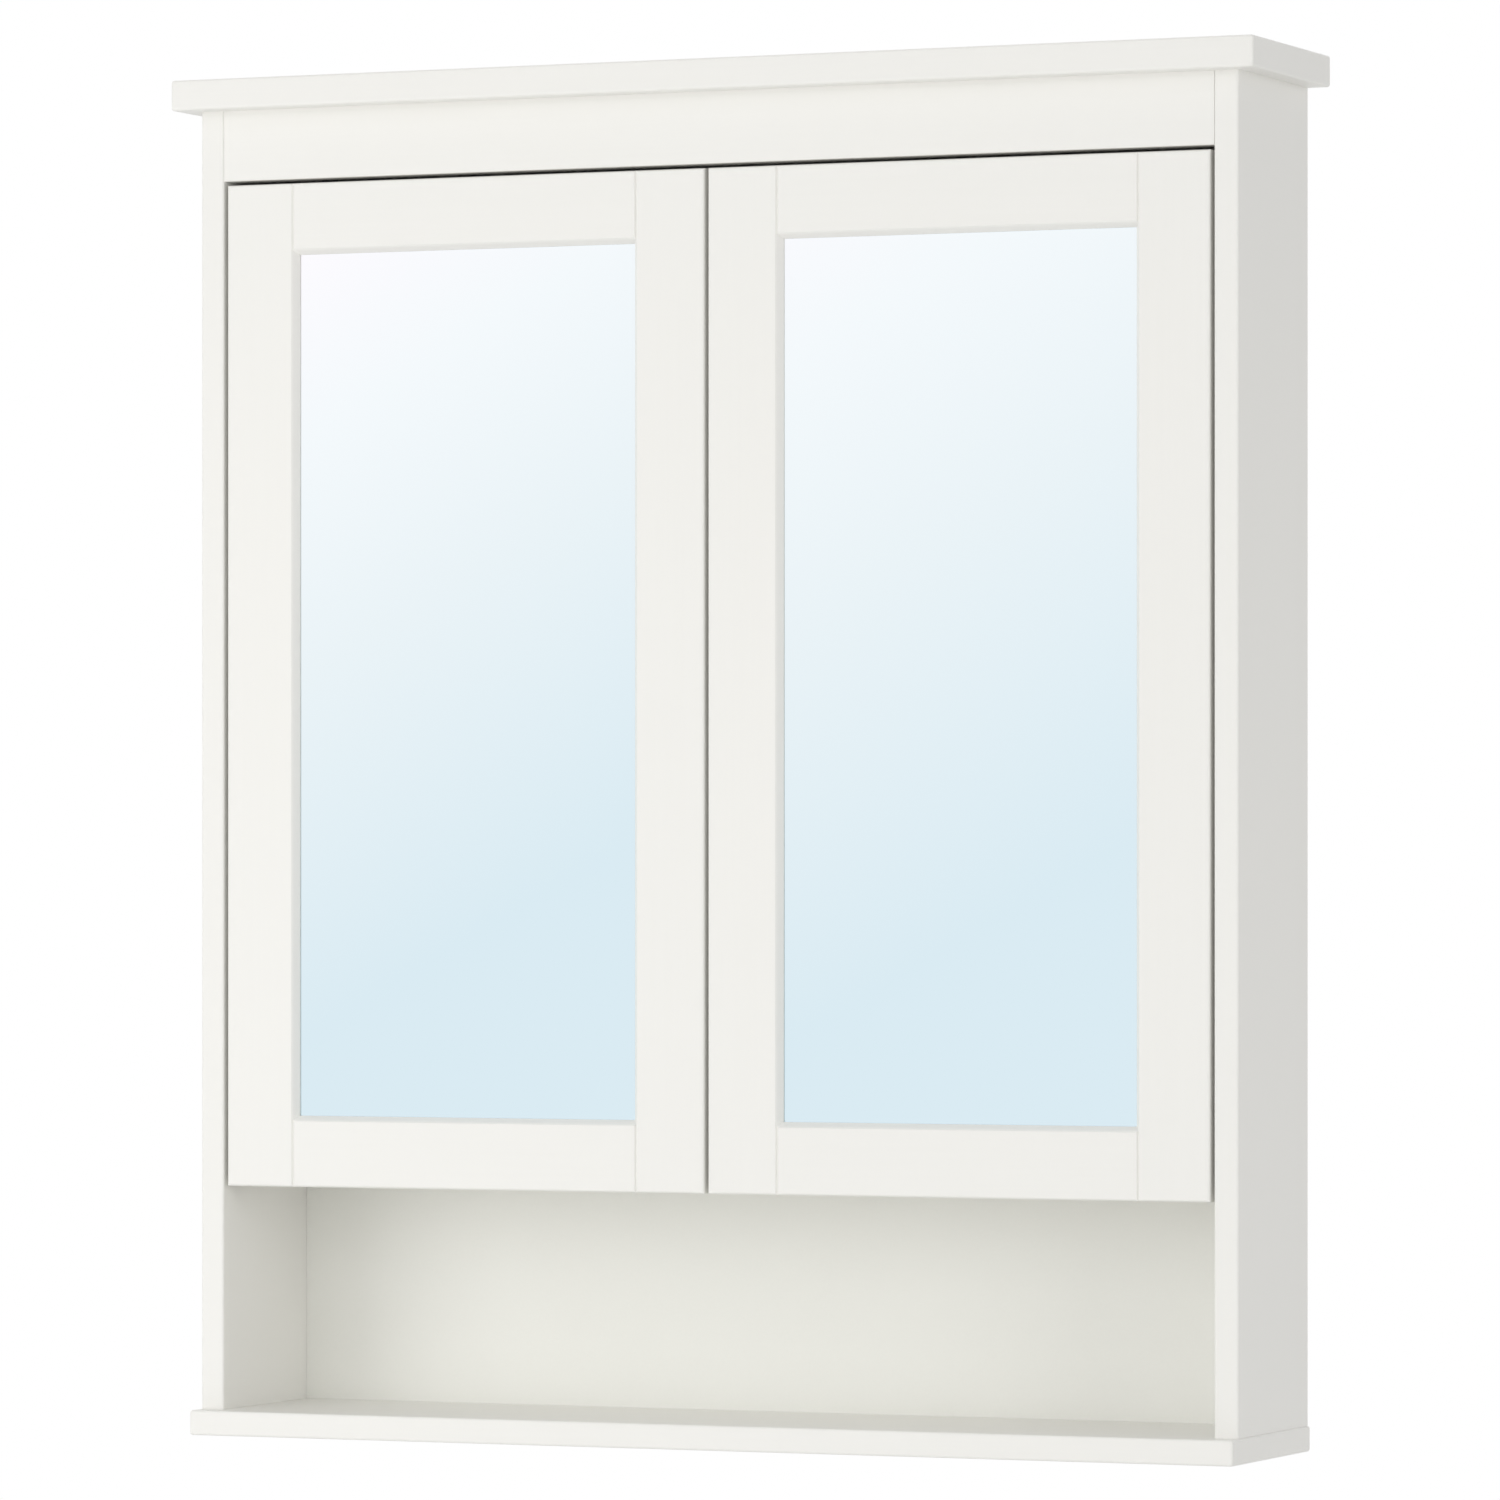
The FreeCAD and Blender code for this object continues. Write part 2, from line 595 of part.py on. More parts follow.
def make_base_panel():
    """The base board: the floor of the open shelf."""
    body = new_body("base_panel", bottom_z)
    pad(body, rectangle(-base_half, -S["overall_depth"], base_half, ZERO), S["base_thickness"])
    front = -S["overall_depth"].value
    round_edges(body, S["board_radius"], outer_edge_test(front, base_half.value))
    groove_end = inner_half + S["groove_depth"]
    groove = rectangle(-groove_end, back_front_y - S["groove_play"],
                       groove_end, -S["back_offset"] + S["groove_play"])
    pocket(body, S["groove_depth"], "XY_Plane", S["base_thickness"], outlines=[groove])
    for side in (-1, 1):
        middle = side_middle * side
        pocket(body, face_grip_hole, "XY_Plane", S["base_thickness"],
               circles=[(middle, BASE_DOWEL_Y, dowel_hole)])
        shanks = [(middle, y, S["base_screw_radius"] + S["fastener_play"])
                  for y in BASE_SCREWS_Y]
        pocket(body, S["base_thickness"], "XY_Plane", S["base_thickness"], circles=shanks)
        heads = [(middle, y, S["base_screw_head"] + S["fastener_play"]) for y in BASE_SCREWS_Y]
        pocket(body, base_head_hole, "XY_Plane", reverse=True, circles=heads)


def make_cupboard_floor():
    """The fixed board between the open shelf and the cupboard."""
    body = new_body("cupboard_floor", panel_z)
    back = back_front_y - S["groove_play"]
    pad(body, rectangle(-inner_half, panel_front_y, inner_half, back), S["panel_thickness"])
    front = panel_front_y.value
    round_edges(body, 1, lambda a, b: level(a.y, front) and level(b.y, front)
                and level(a.z, b.z))
    half_thickness = S["panel_thickness"] / 2
    for side in (-1, 1):
        cams = [((inner_half - S["cam_distance"]) * side, y, cam_hole) for y in PANEL_CAMS_Y]
        pocket(body, S["cam_depth"] + S["fastener_play"], "XY_Plane", S["panel_thickness"],
               circles=cams)
        end = inner_half * side
        into_board = side < 0
        bolts = [(y, half_thickness, bolt_hole) for y in PANEL_CAMS_Y]
        pocket(body, bolt_reach, "YZ_Plane", end, into_board, circles=bolts)
        pocket(body, grip_hole, "YZ_Plane", end, into_board,
               circles=[(PANEL_DOWEL_Y, half_thickness, dowel_hole)])
    # The XZ plane's normal is -Y, so a plain pocket sinks towards +Y.
    stems = [(S["bumper_from_centre"] * side, half_thickness, bumper_hole) for side in (-1, 1)]
    pocket(body, S["bumper_stem"] + S["end_play"], "XZ_Plane", -panel_front_y, circles=stems)


def make_end_bores(body, base_z, y, cam_z, dowels_z, cam_face_y, cams_face_back):
    """Bores in both ends of a rail, and the cam bores in the face named."""
    for side in (-1, 1):
        end = inner_half * side
        into_board = side < 0
        pocket(body, bolt_reach, "YZ_Plane", end, into_board,
               circles=[(y, cam_z - base_z, bolt_hole)])
        pocket(body, grip_hole, "YZ_Plane", end, into_board,
               circles=[(y, z - base_z, dowel_hole) for z in dowels_z])
    cams = [((inner_half - S["cam_distance"]) * side, cam_z - base_z, cam_hole)
            for side in (-1, 1)]
    pocket(body, S["cam_depth"] + S["fastener_play"], "XZ_Plane", -cam_face_y, cams_face_back,
           circles=cams)


def make_front_rail():
    """The fixed rail above the doors, a little behind the front plane."""
    body = new_body("top_front_rail", front_rail_z)
    outline = rectangle(-inner_half, front_rail_front, inner_half, front_rail_back)
    pad(body, outline, S["front_rail_height"])
    front = front_rail_front.value
    round_edges(body, S["board_radius"] / 2,
                lambda a, b: level(a.y, front) and level(b.y, front)
                and level(a.z, 0) and level(b.z, 0))
    make_end_bores(body, front_rail_z, front_rail_mid_y, front_rail_cam_z,
                   front_rail_dowels_z, front_rail_back, True)


def make_hanging_rail():
    """The rail against the wall that carries the cabinet."""
    body = new_body("rear_hanging_rail", hanging_rail_z)
    front = -S["hanging_rail_thickness"]
    pad(body, rectangle(-inner_half, front, inner_half, ZERO), S["hanging_rail_height"])
    groove = rectangle(-inner_half, back_front_y - S["groove_play"],
                       inner_half, -S["back_offset"] + S["groove_play"])
    pocket(body, S["groove_depth"], "XY_Plane", reverse=True, outlines=[groove])
    make_end_bores(body, hanging_rail_z, hanging_rail_mid_y, hanging_rail_cam_z,
                   hanging_rail_dowels_z, front, False)
    holes = [(S["wall_hole_spacing"] / 2 * side, -hanging_rail_z, S["wall_hole_radius"])
             for side in (-1, 1)]
    pocket(body, S["hanging_rail_thickness"], "XZ_Plane", -front, circles=holes)


def make_back_panel():
    """The thin back, held in grooves on all four sides."""
    play = S["groove_depth"] - 0.5
    body = new_body("back_panel", floor_z - play)
    outline = rectangle(-(inner_half + play), back_front_y, inner_half + play, -S["back_offset"])
    pad(body, outline, hanging_rail_z - floor_z + play * 2)


def pin_level(row):
    """The centre height of one row of shelf-pin holes."""
    return first_row_z + S["pin_pitch"] * row


def make_glass_shelf(label, row):
    """A glass shelf that rests on four pins."""
    body = new_body(label, pin_level(row) + S["pin_radius"] + 0.05)
    half = inner_half - S["glass_end_play"]
    outline = rectangle(-half, glass_front_y, half, back_front_y - S["glass_back_play"])
    pad(body, outline, S["glass_thickness"])
    front = glass_front_y.value
    round_edges(body, 1, lambda a, b: level(a.y, front) and level(b.y, front)
                and level(a.z, b.z))


# ---------------------------------------------------------------- small hardware

CROSS_HALF = as_dim(0.45)      # half the width of a cross recess's arms
CROSS_REACH = 0.6              # the arms' length, as a share of the head's radius
CROSS_DEPTH = 1.2


def make_screw(name, head_radius, head_height, shank_radius, length, sunk):
    """A cross-head screw along +Z, with its head above z = 0, or sunk below it."""
    if sunk:
        head = doc.addObject("Part::Cone", name + "_head")
        bind(head, "Radius1", shank_radius)
        bind(head, "Radius2", head_radius)
        bind(head, "Height", head_height)
        place(head, z=-as_dim(head_height))
        head_top = ZERO
    else:
        head = cylinder(name + "_head", head_radius, head_height)
        head_top = as_dim(head_height)
    shank = cylinder(name + "_shank", shank_radius, length, z=-as_dim(length))
    whole = fuse(name + "_blank", [head, shank])
    reach = as_dim(head_radius) * CROSS_REACH
    slots = []
    for letter, along_x in (("a", True), ("b", False)):
        long_way, short_way = (-reach, reach), (-CROSS_HALF, CROSS_HALF)
        x_range = long_way if along_x else short_way
        y_range = short_way if along_x else long_way
        slots.append(box(f"{name}_slot_{letter}", x_range, y_range,
                         (head_top - CROSS_DEPTH, head_top + 1)))
    return cut(name, whole, slots)


def make_shelf_pins():
    """Eight steel pins, four under each glass shelf."""
    stud = cylinder("pin_stud", S["pin_radius"], S["pin_grip"] + S["pin_reach"], z=-S["pin_grip"])
    collar = cylinder("pin_collar", S["pin_collar_radius"], S["pin_collar_thickness"])
    pin = fuse("pin_prototype", [stud, collar])
    spots = []
    for row in (LOWER_SHELF_ROW, UPPER_SHELF_ROW):
        for _, side in SIDES:
            for y in pin_columns_y:
                spots.append((inner_half * side, y, pin_level(row), inward(side)))
    copies("shelf_pins", pin, spots)


def make_cam_hardware():
    """The cam locks and the bolts that they pull."""
    disc = cylinder("cam_disc", S["cam_radius"], S["cam_depth"], z=-S["cam_depth"])
    reach = S["cam_radius"] + 1
    bolt_side = S["bolt_radius"] + S["fastener_play"]
    half_board = S["side_thickness"] / 2
    # The cam's slot opens towards local -X, where its bolt comes from.
    slot = box("cam_slot", (-reach, as_dim(3.6)), (-bolt_side, bolt_side),
               (-S["cam_depth"] - 1, -half_board + bolt_side + 1))
    cross_a = box("cam_cross_a", (as_dim(-4), as_dim(4)), (as_dim(-0.6), as_dim(0.6)),
                  (as_dim(-1.5), as_dim(1)))
    cross_b = box("cam_cross_b", (as_dim(-0.6), as_dim(0.6)), (as_dim(-4), as_dim(4)),
                  (as_dim(-1.5), as_dim(1)))
    cam = cut("cam_prototype", disc, [slot, cross_a, cross_b])

    shank_length = S["cam_distance"] + 2
    thread = cylinder("bolt_thread", S["bolt_thread_radius"], S["bolt_grip"], z=-S["bolt_grip"])
    shank = cylinder("bolt_shank", S["bolt_radius"], shank_length)
    neck_outer = cylinder("bolt_neck_outer", S["bolt_radius"] + 1, as_dim(3), z=shank_length - 5)
    neck_inner = cylinder("bolt_neck_inner", S["bolt_radius"] - 1, as_dim(3), z=shank_length - 5)
    neck = cut("bolt_neck", neck_outer, [neck_inner])
    bolt = cut("bolt_prototype", fuse("bolt_blank", [thread, shank]), [neck])

    cams = []
    bolts = []
    for _, side in SIDES:
        cam_x = (inner_half - S["cam_distance"]) * side
        # A cam's local -X has to point at the side panel.
        flip = Rotation() if side < 0 else Rotation(Vector(0, 0, 1), 180)
        for y in PANEL_CAMS_Y:
            cams.append((cam_x, y, cupboard_floor_z, flip))
        cams.append((cam_x, front_rail_back, front_rail_cam_z, face_turn(side, True)))
        cams.append((cam_x, -S["hanging_rail_thickness"], hanging_rail_cam_z,
                     face_turn(side, False)))
        for y, z in cam_joints:
            bolts.append((inner_half * side, y, z, inward(side)))
        cams.append((inner_half * side, TOP_CAM_Y, under_top_z - S["cam_distance"],
                     side_cam_turn(side)))
        bolts.append((side_middle * side, TOP_CAM_Y, under_top_z, TO_MINUS_Z))
    copies("cam_locks", cam, cams)
    copies("cam_bolts", bolt, bolts)


def frame_rotation(x_axis, z_axis):
    """The rotation that takes local X and Z to two given directions."""
    y_axis = z_axis.cross(x_axis)
    return Rotation(x_axis, y_axis, z_axis, "ZXY")


def face_turn(side, faces_back):
    """A cam in a rail: its face looks back or forward, its slot towards the side panel."""
    face = Vector(0, 1, 0) if faces_back else Vector(0, -1, 0)
    return frame_rotation(Vector(-side, 0, 0), face)


def side_cam_turn(side):
    """A cam in a side panel: its face looks inward, its slot up to the top board."""
    return frame_rotation(Vector(0, 0, -1), Vector(-side, 0, 0))


def make_carcass_dowels():
    """Fluteless beech dowels between the boards."""
    across = cylinder("dowel_across", S["dowel_radius"], S["dowel_grip"] * 2, z=-S["dowel_grip"])
    down = cylinder("dowel_down", S["dowel_radius"], S["dowel_grip"] * 2,
                    z=-S["face_dowel_grip"])
    links = []
    spots = []
    for _, side in SIDES:
        for y, z in dowel_joints:
            spots.append((across, inner_half * side, y, z, inward(side)))
        for y in TOP_DOWELS_Y:
            spots.append((down, side_middle * side, y, under_top_z, TO_MINUS_Z))
        spots.append((down, side_middle * side, BASE_DOWEL_Y, floor_z, Rotation()))
    for number, (prototype, x, y, z, rotation) in enumerate(spots, start=1):
        links.append(linked_copy(f"carcass_dowel_{number}", prototype, x, y, z, rotation))
    group("carcass_dowels", links)


def make_base_screws():
    """Four screws up through the base board into the side panels."""
    screw = make_screw("base_screw", S["base_screw_head"], S["base_head_height"],
                       S["base_screw_radius"], S["base_screw_length"], True)
    spots = []
    for _, side in SIDES:
        for y in BASE_SCREWS_Y:
            spots.append((side_middle * side, y, bottom_z + S["base_head_sink"], TO_MINUS_Z))
    copies("base_screws", screw, spots)


def make_bumpers():
    """Two soft bumpers in the cupboard floor's front edge, one behind each door."""
    head = cylinder("bumper_head", S["bumper_radius"], S["panel_clearance"] - S["bumper_play"])
    stem = cylinder("bumper_pin", S["bumper_stem_radius"], S["bumper_stem"],
                    z=-S["bumper_stem"])
    bumper = fuse("bumper_prototype", [head, stem])
    spots = [(S["bumper_from_centre"] * side, panel_front_y, panel_mid_z, TO_MINUS_Y)
             for _, side in SIDES]
    copies("door_bumpers", bumper, spots)


# ---------------------------------------------------------------- hinges

# The pin ends flush with the outsides of the cup's ears, but for a little.
pin_half = S["arm_width"] / 2 + S["ear_play"] + S["ear_thickness"] + S["ear_play"]


def from_side(side, distance):
    """X at a distance inward from a side panel's inner face."""
    return (inner_half - distance) * side


def from_front(distance):
    """Y at a distance behind the front plane."""
    return front_y + distance


def make_mounting_plate(name, side, hinge_z):
    """The cross-shaped plate on the side panel that the arm sits on."""
    wing_reach = S["plate_screw_spacing"] / 2 + S["plate_wing_end"]
    setback = S["plate_setback"]
    wings = box(name + "_wings", (from_side(side, ZERO), from_side(side, S["wing_thickness"])),
                (from_front(setback - S["wing_half"]), from_front(setback + S["wing_half"])),
                (hinge_z - wing_reach, hinge_z + wing_reach))
    spine = box(name + "_spine", (from_side(side, ZERO), from_side(side, S["plate_height"])),
                (from_front(setback - S["spine_front"]), from_front(setback + S["spine_back"])),
                (hinge_z - S["spine_half"], hinge_z + S["spine_half"]))
    tools = []
    for step in (-1, 1):
        screw_z = hinge_z + S["plate_screw_spacing"] / 2 * step
        tools.append(cylinder(f"{name}_hole{step + 1}", screw_hole, S["wing_thickness"],
                              from_side(side, ZERO), from_front(setback), screw_z, inward(side)))
    for use in ("clamp", "adjust"):
        start = S["plate_height"] - S["arm_screw_length"]
        tools.append(cylinder(f"{name}_{use}", S["arm_screw_radius"] + S["fastener_play"],
                              S["arm_screw_length"] + 1, from_side(side, start),
                              from_front(S[use + "_screw"]), hinge_z, inward(side)))
    return cut(name, fuse(name + "_blank", [wings, spine]), tools)


ARM_SEAT_PLAY = 0.05      # arm to the plate it sits on


def rounded_route(points, radii):
    """A flat wire of straight runs joined by tangent arcs of the radii given."""
    edges = []
    start = points[0]
    for index in range(1, len(points) - 1):
        corner = points[index]
        before = (points[index - 1] - corner).normalize()
        after = (points[index + 1] - corner).normalize()
        half_turn = before.getAngle(after) / 2
        radius = radii[index - 1]
        setoff = radius / math.tan(half_turn)
        first = corner + before * setoff
        last = corner + after * setoff
        inward_way = (before + after).normalize()
        centre = corner + inward_way * (radius / math.sin(half_turn))
        middle = centre - inward_way * radius
        edges.append(Part.LineSegment(start, first).toShape())
        edges.append(Part.Arc(first, middle, last).toShape())
        start = last
    edges.append(Part.LineSegment(start, points[-1]).toShape())
    return Part.Wire(edges)


def make_arm(name, side, hinge_z):
    """A cranked steel arm with an eye at the pin, swept along its bends."""
    seated = S["plate_height"] + S["arm_thickness"] / 2 + ARM_SEAT_PLAY
    route_points = [(axis_from_side, axis_depth), (crank_from_side, axis_depth),
                    (crank_from_side, S["arm_bend_start"]), (seated, S["arm_bend_end"]),
                    (seated, S["arm_end"])]
    low = hinge_z - S["arm_width"] / 2
    points = [Vector(from_side(side, u).value, from_front(v).value, low.value)
              for u, v in route_points]
    crank, knee = S["crank_radius"].value, S["knee_radius"].value
    route = rounded_route(points, [crank, crank, knee])
    half = S["arm_thickness"].value / 2
    width = S["arm_width"].value
    start = points[0]
    corners = [start + Vector(0, -half, 0), start + Vector(0, half, 0),
               start + Vector(0, half, width), start + Vector(0, -half, width)]
    profile = Part.makePolygon(corners + [corners[0]])
    strip = doc.addObject("Part::Feature", name + "_strip")
    strip.Shape = route.makePipeShell([profile], True, False)
    axis_x = from_side(side, axis_from_side)
    axis_y = from_front(axis_depth)
    eye = cylinder(name + "_eye", S["barrel_radius"], S["arm_width"], axis_x, axis_y, low)
    bore = cylinder(name + "_bore", S["hinge_pin_radius"] + S["hinge_pin_play"],
                    S["arm_width"] + 2, axis_x, axis_y, low - 1)
    tools = [bore]
    for use in ("clamp", "adjust"):
        tools.append(cylinder(f"{name}_{use}", S["arm_screw_radius"] + S["fastener_play"],
                              S["arm_thickness"] + 4, from_side(side, S["plate_height"] - 1),
                              from_front(S[use + "_screw"]), hinge_z, inward(side)))
    return cut(name, fuse(name + "_blank", [strip, eye]), tools)


def make_cup(name, side, hinge_z):
    """The pressed cup with its flange and the ears that hold the pin."""
    centre_x = from_side(side, cup_from_side)
    floor_y = from_front(S["door_thickness"] - cup_depth)
    flange_y = from_front(S["door_thickness"])
    flange_top_y = from_front(S["door_thickness"] + S["flange_thickness"])
    outer = S["cup_bore_radius"] - S["fastener_play"]
    shell = cylinder(name + "_shell", outer, cup_depth, centre_x, floor_y, hinge_z, TO_Y)
    rim = cylinder(name + "_rim", outer + S["cup_rim"], S["flange_thickness"], centre_x,
                   flange_y, hinge_z, TO_Y)
    wing_reach = S["cup_screw_spacing"] / 2 + S["cup_wing_end"]
    wings = box(name + "_wings", (from_side(side, screw_from_side - S["wing_half"]),
                                  from_side(side, screw_from_side + S["wing_half"])),
                (flange_y, flange_top_y), (hinge_z - wing_reach, hinge_z + wing_reach))
    hollow = cylinder(name + "_hollow", outer - S["cup_wall"], cup_depth + 5, centre_x,
                      floor_y + S["cup_wall"], hinge_z, TO_Y)
    holes = []
    for step in (-1, 1):
        screw_z = hinge_z + S["cup_screw_spacing"] / 2 * step
        holes.append(cylinder(f"{name}_hole{step + 1}", screw_hole, S["flange_thickness"],
                              from_side(side, screw_from_side), flange_y, screw_z, TO_Y))
    blank = cut(name + "_pressing", fuse(name + "_blank", [shell, rim, wings]), [hollow] + holes)
    ears = []
    for step in (-1, 1):
        near = S["arm_width"] / 2 + S["ear_play"]
        ears.append(box(f"{name}_ear{step + 1}",
                        (from_side(side, axis_from_side - S["ear_half"]),
                         from_side(side, axis_from_side + S["ear_half"])),
                        (floor_y + S["cup_wall"] / 2, from_front(axis_depth + S["ear_half"])),
                        (hinge_z + near * step, hinge_z + (near + S["ear_thickness"]) * step)))
    whole = fuse(name + "_with_ears", [blank] + ears)
    seat_half = pin_half + S["fastener_play"]
    seat = cylinder(name + "_seat", S["hinge_pin_radius"] + S["hinge_pin_play"],
                    seat_half * 2, from_side(side, axis_from_side), from_front(axis_depth),
                    hinge_z - seat_half)
    return cut(name, whole, [seat])


def make_hinge_spring(name, side, hinge_z):
    """The closing spring: a leaf on the cup's floor with its rivet."""
    floor_v = S["door_thickness"] - cup_depth + S["cup_wall"] + 0.1
    leaf = box(name + "_leaf",
               (from_side(side, cup_from_side - 5), from_side(side, cup_from_side + 14)),
               (from_front(floor_v), from_front(floor_v + 0.6)), (hinge_z - 4, hinge_z + 4))
    rivet = cylinder(name + "_rivet", as_dim(1.6), as_dim(1.4),
                     from_side(side, cup_from_side + 12), from_front(floor_v), hinge_z, TO_Y)
    return fuse(name, [leaf, rivet])


def make_hinges(hardware_screw):
    """Both hinges on both sides, with their screws."""
    plate_screws = []
    arm_screws = []
    for name, side in SIDES:
        plates = []
        arms = []
        cups = []
        pins = []
        springs = []
        cup_screws = []
        for number, hinge_z in enumerate(hinge_levels, start=1):
            tag = f"{name}_hinge{number}"
            plates.append(make_mounting_plate(tag + "_plate", side, hinge_z))
            arms.append(make_arm(tag + "_arm", side, hinge_z))
            cups.append(make_cup(tag + "_cup", side, hinge_z))
            pins.append(cylinder(tag + "_pin", S["hinge_pin_radius"], pin_half * 2,
                                 from_side(side, axis_from_side),
                                 from_front(axis_depth), hinge_z - pin_half))
            springs.append(make_hinge_spring(tag + "_spring", side, hinge_z))
            for step in (-1, 1):
                plate_screws.append((from_side(side, S["wing_thickness"]),
                                     from_front(S["plate_setback"]),
                                     hinge_z + S["plate_screw_spacing"] / 2 * step,
                                     inward(side)))
                cup_screws.append((from_side(side, screw_from_side),
                                   from_front(S["door_thickness"] + S["flange_thickness"]),
                                   hinge_z + S["cup_screw_spacing"] / 2 * step, TO_Y))
            seat = S["plate_height"] + S["arm_thickness"] + ARM_SEAT_PLAY * 2
            for use in ("clamp", "adjust"):
                arm_screws.append((from_side(side, seat), from_front(S[use + "_screw"]),
                                   hinge_z, inward(side)))
        group(f"{name}_hinge_plates", plates)
        group(f"{name}_hinge_arms", arms)
        group(f"{name}_hinge_cups", cups)
        group(f"{name}_hinge_pins", pins)
        group(f"{name}_hinge_springs", springs)
        copies(f"{name}_hinge_cup_screws", hardware_screw, cup_screws)
    copies("hinge_plate_screws", hardware_screw, plate_screws)
    arm_screw = make_screw("arm_screw", S["arm_screw_head"], S["arm_head_height"],
                           S["arm_screw_radius"], S["arm_screw_length"], False)
    copies("hinge_arm_screws", arm_screw, arm_screws)


# ---------------------------------------------------------------- doors

lip_tip = S["stile_width"] + S["bevel_width"]              # door edge to the edge of the lip
rebate_wall = lip_tip - S["rebate_width"]
rail_tip = S["door_rail_height"] + S["bevel_width"]
rail_rebate = rail_tip - S["rebate_width"]
mirror_front = S["lip_depth"] + S["layer_play"]
backing_front = mirror_front + S["mirror_thickness"] + S["layer_play"]
backing_back = backing_front + S["backing_thickness"]
door_dowel_depth = (S["lip_depth"] + S["door_thickness"]) / 2
DOOR_DOWELS = [13, 32]                                     # from the door's end
CLIP_SHARES = [0.3, 0.7]                                   # clips up the door, as shares
clip_heights = [door_height * share for share in CLIP_SHARES]


def door_x(side, distance):
    """X at a distance from a door's hinge edge."""
    return (inner_half - S["door_gap"] - distance) * side


def profile_points(edge, tip, rebate):
    """An upright's cross-section: flat front, chamfer, bevel, lip and rebate.

    Each point is (across, depth).
    """
    chamfer = S["edge_chamfer"]
    return [(ZERO, ZERO), (edge - chamfer, ZERO), (edge, chamfer), (tip, S["bevel_depth"]),
            (tip, S["lip_depth"]), (rebate, S["lip_depth"]), (rebate, S["door_thickness"]),
            (ZERO, S["door_thickness"])]


def make_stile(name, side, is_hinge_side):
    """One upright of a door frame, the full height of the door."""
    label = f"{name}_door_{'hinge' if is_hinge_side else 'free'}_stile"
    body = new_body(label, door_bottom_z)

    def across(distance):
        if is_hinge_side:
            return door_x(side, distance)
        return door_x(side, door_width - distance)

    outline = [(across(w), from_front(d))
               for w, d in profile_points(S["stile_width"], lip_tip, rebate_wall)]
    pad(body, outline, door_height)
    front = front_y.value
    edge = across(ZERO).value
    top = door_height.value

    def is_outer(a, b):
        if not (level(a.y, front) and level(b.y, front)):
            return False
        upright = level(a.x, edge) and level(b.x, edge)
        at_end = level(a.z, b.z) and (level(a.z, 0) or level(a.z, top))
        return upright or at_end

    round_edges(body, S["board_radius"], is_outer)

    faces_right = across(as_dim(1)).value > across(ZERO).value
    dowels = []
    for inset in DOOR_DOWELS:
        dowels.append((from_front(door_dowel_depth), as_dim(inset), dowel_hole))
        dowels.append((from_front(door_dowel_depth), door_height - inset, dowel_hole))
    pocket(body, grip_hole, "YZ_Plane", across(rebate_wall), not faces_right, circles=dowels)

    # The XZ plane's normal is -Y, so a bore in the back face sinks along it.
    back_offset = -from_front(S["door_thickness"])
    if is_hinge_side:
        for hinge_z in hinge_levels:
            local = hinge_z - door_bottom_z
            pocket(body, cup_depth + S["layer_play"], "XZ_Plane", back_offset, True,
                   circles=[(across(cup_from_edge), local, S["cup_bore_radius"])])
            screws = [(across(cup_from_edge + S["cup_screw_offset"]),
                       local + S["cup_screw_spacing"] / 2 * step, screw_hole)
                      for step in (-1, 1)]
            pocket(body, S["wood_screw_length"], "XZ_Plane", back_offset, True, circles=screws)
    clip_holes = [(across(rebate_wall - S["clip_foot"] / 2), height, clip_hole)
                  for height in clip_heights]
    pocket(body, S["clip_screw_length"], "XZ_Plane", back_offset, True, circles=clip_holes)


def make_door_rail(name, side, is_top):
    """One crosspiece of a door frame, coped over the lips of both uprights."""
    label = f"{name}_door_{'top' if is_top else 'bottom'}_rail"
    base_z = door_top_z - rail_tip if is_top else door_bottom_z
    body = new_body(label, base_z)

    def height(distance):
        return rail_tip - distance if is_top else as_dim(distance)

    # The cross-section stands on the YZ plane and runs from one rebate wall to the other.
    outline = [(from_front(d), height(w))
               for w, d in profile_points(S["door_rail_height"], rail_tip, rail_rebate)]
    ends = sorted((door_x(side, rebate_wall), door_x(side, door_width - rebate_wall)),
                  key=lambda size: size.value)
    length = ends[1] - ends[0]
    pad(body, outline, length, "YZ_Plane", ends[0])
    front = front_y.value
    outer = height(ZERO).value
    round_edges(body, S["board_radius"],
                lambda a, b: level(a.y, front) and level(b.y, front)
                and level(a.z, outer) and level(b.z, outer))

    # Each end is coped to the upright's section, with a chamfer that meets the upright's own.
    chamfer = S["edge_chamfer"]
    end_section = [(rebate_wall, ZERO), (S["stile_width"] + chamfer, ZERO),
                   (S["stile_width"], chamfer), (lip_tip, S["bevel_depth"]),
                   (lip_tip, S["lip_depth"]), (rebate_wall, S["lip_depth"])]
    for distance_of in (lambda w: w, lambda w: door_width - w):
        cope = [(door_x(side, distance_of(across)), from_front(depth))
                for across, depth in end_section]
        pocket(body, rail_tip, "XY_Plane", reverse=True, outlines=[cope])

    dowels = [(from_front(door_dowel_depth), height(as_dim(inset)), dowel_hole)
              for inset in DOOR_DOWELS]
    pocket(body, grip_hole, "YZ_Plane", ends[0], True, circles=dowels)
    pocket(body, grip_hole, "YZ_Plane", ends[1], False, circles=dowels)
    clip_at = (door_x(side, door_width / 2), height(rail_rebate - S["clip_foot"] / 2), clip_hole)
    pocket(body, S["clip_screw_length"], "XZ_Plane", -from_front(S["door_thickness"]), True,
           circles=[clip_at])


def make_door_sheet(label, side, front, back):
    """A mirror or backing board that fills the rebate."""
    body = new_body(label, door_bottom_z + rail_rebate + S["mirror_play"])
    inset = rebate_wall + S["mirror_play"]
    outline = rectangle(door_x(side, inset), from_front(front),
                        door_x(side, door_width - inset), from_front(back))
    pad(body, outline, door_height - (rail_rebate + S["mirror_play"]) * 2)


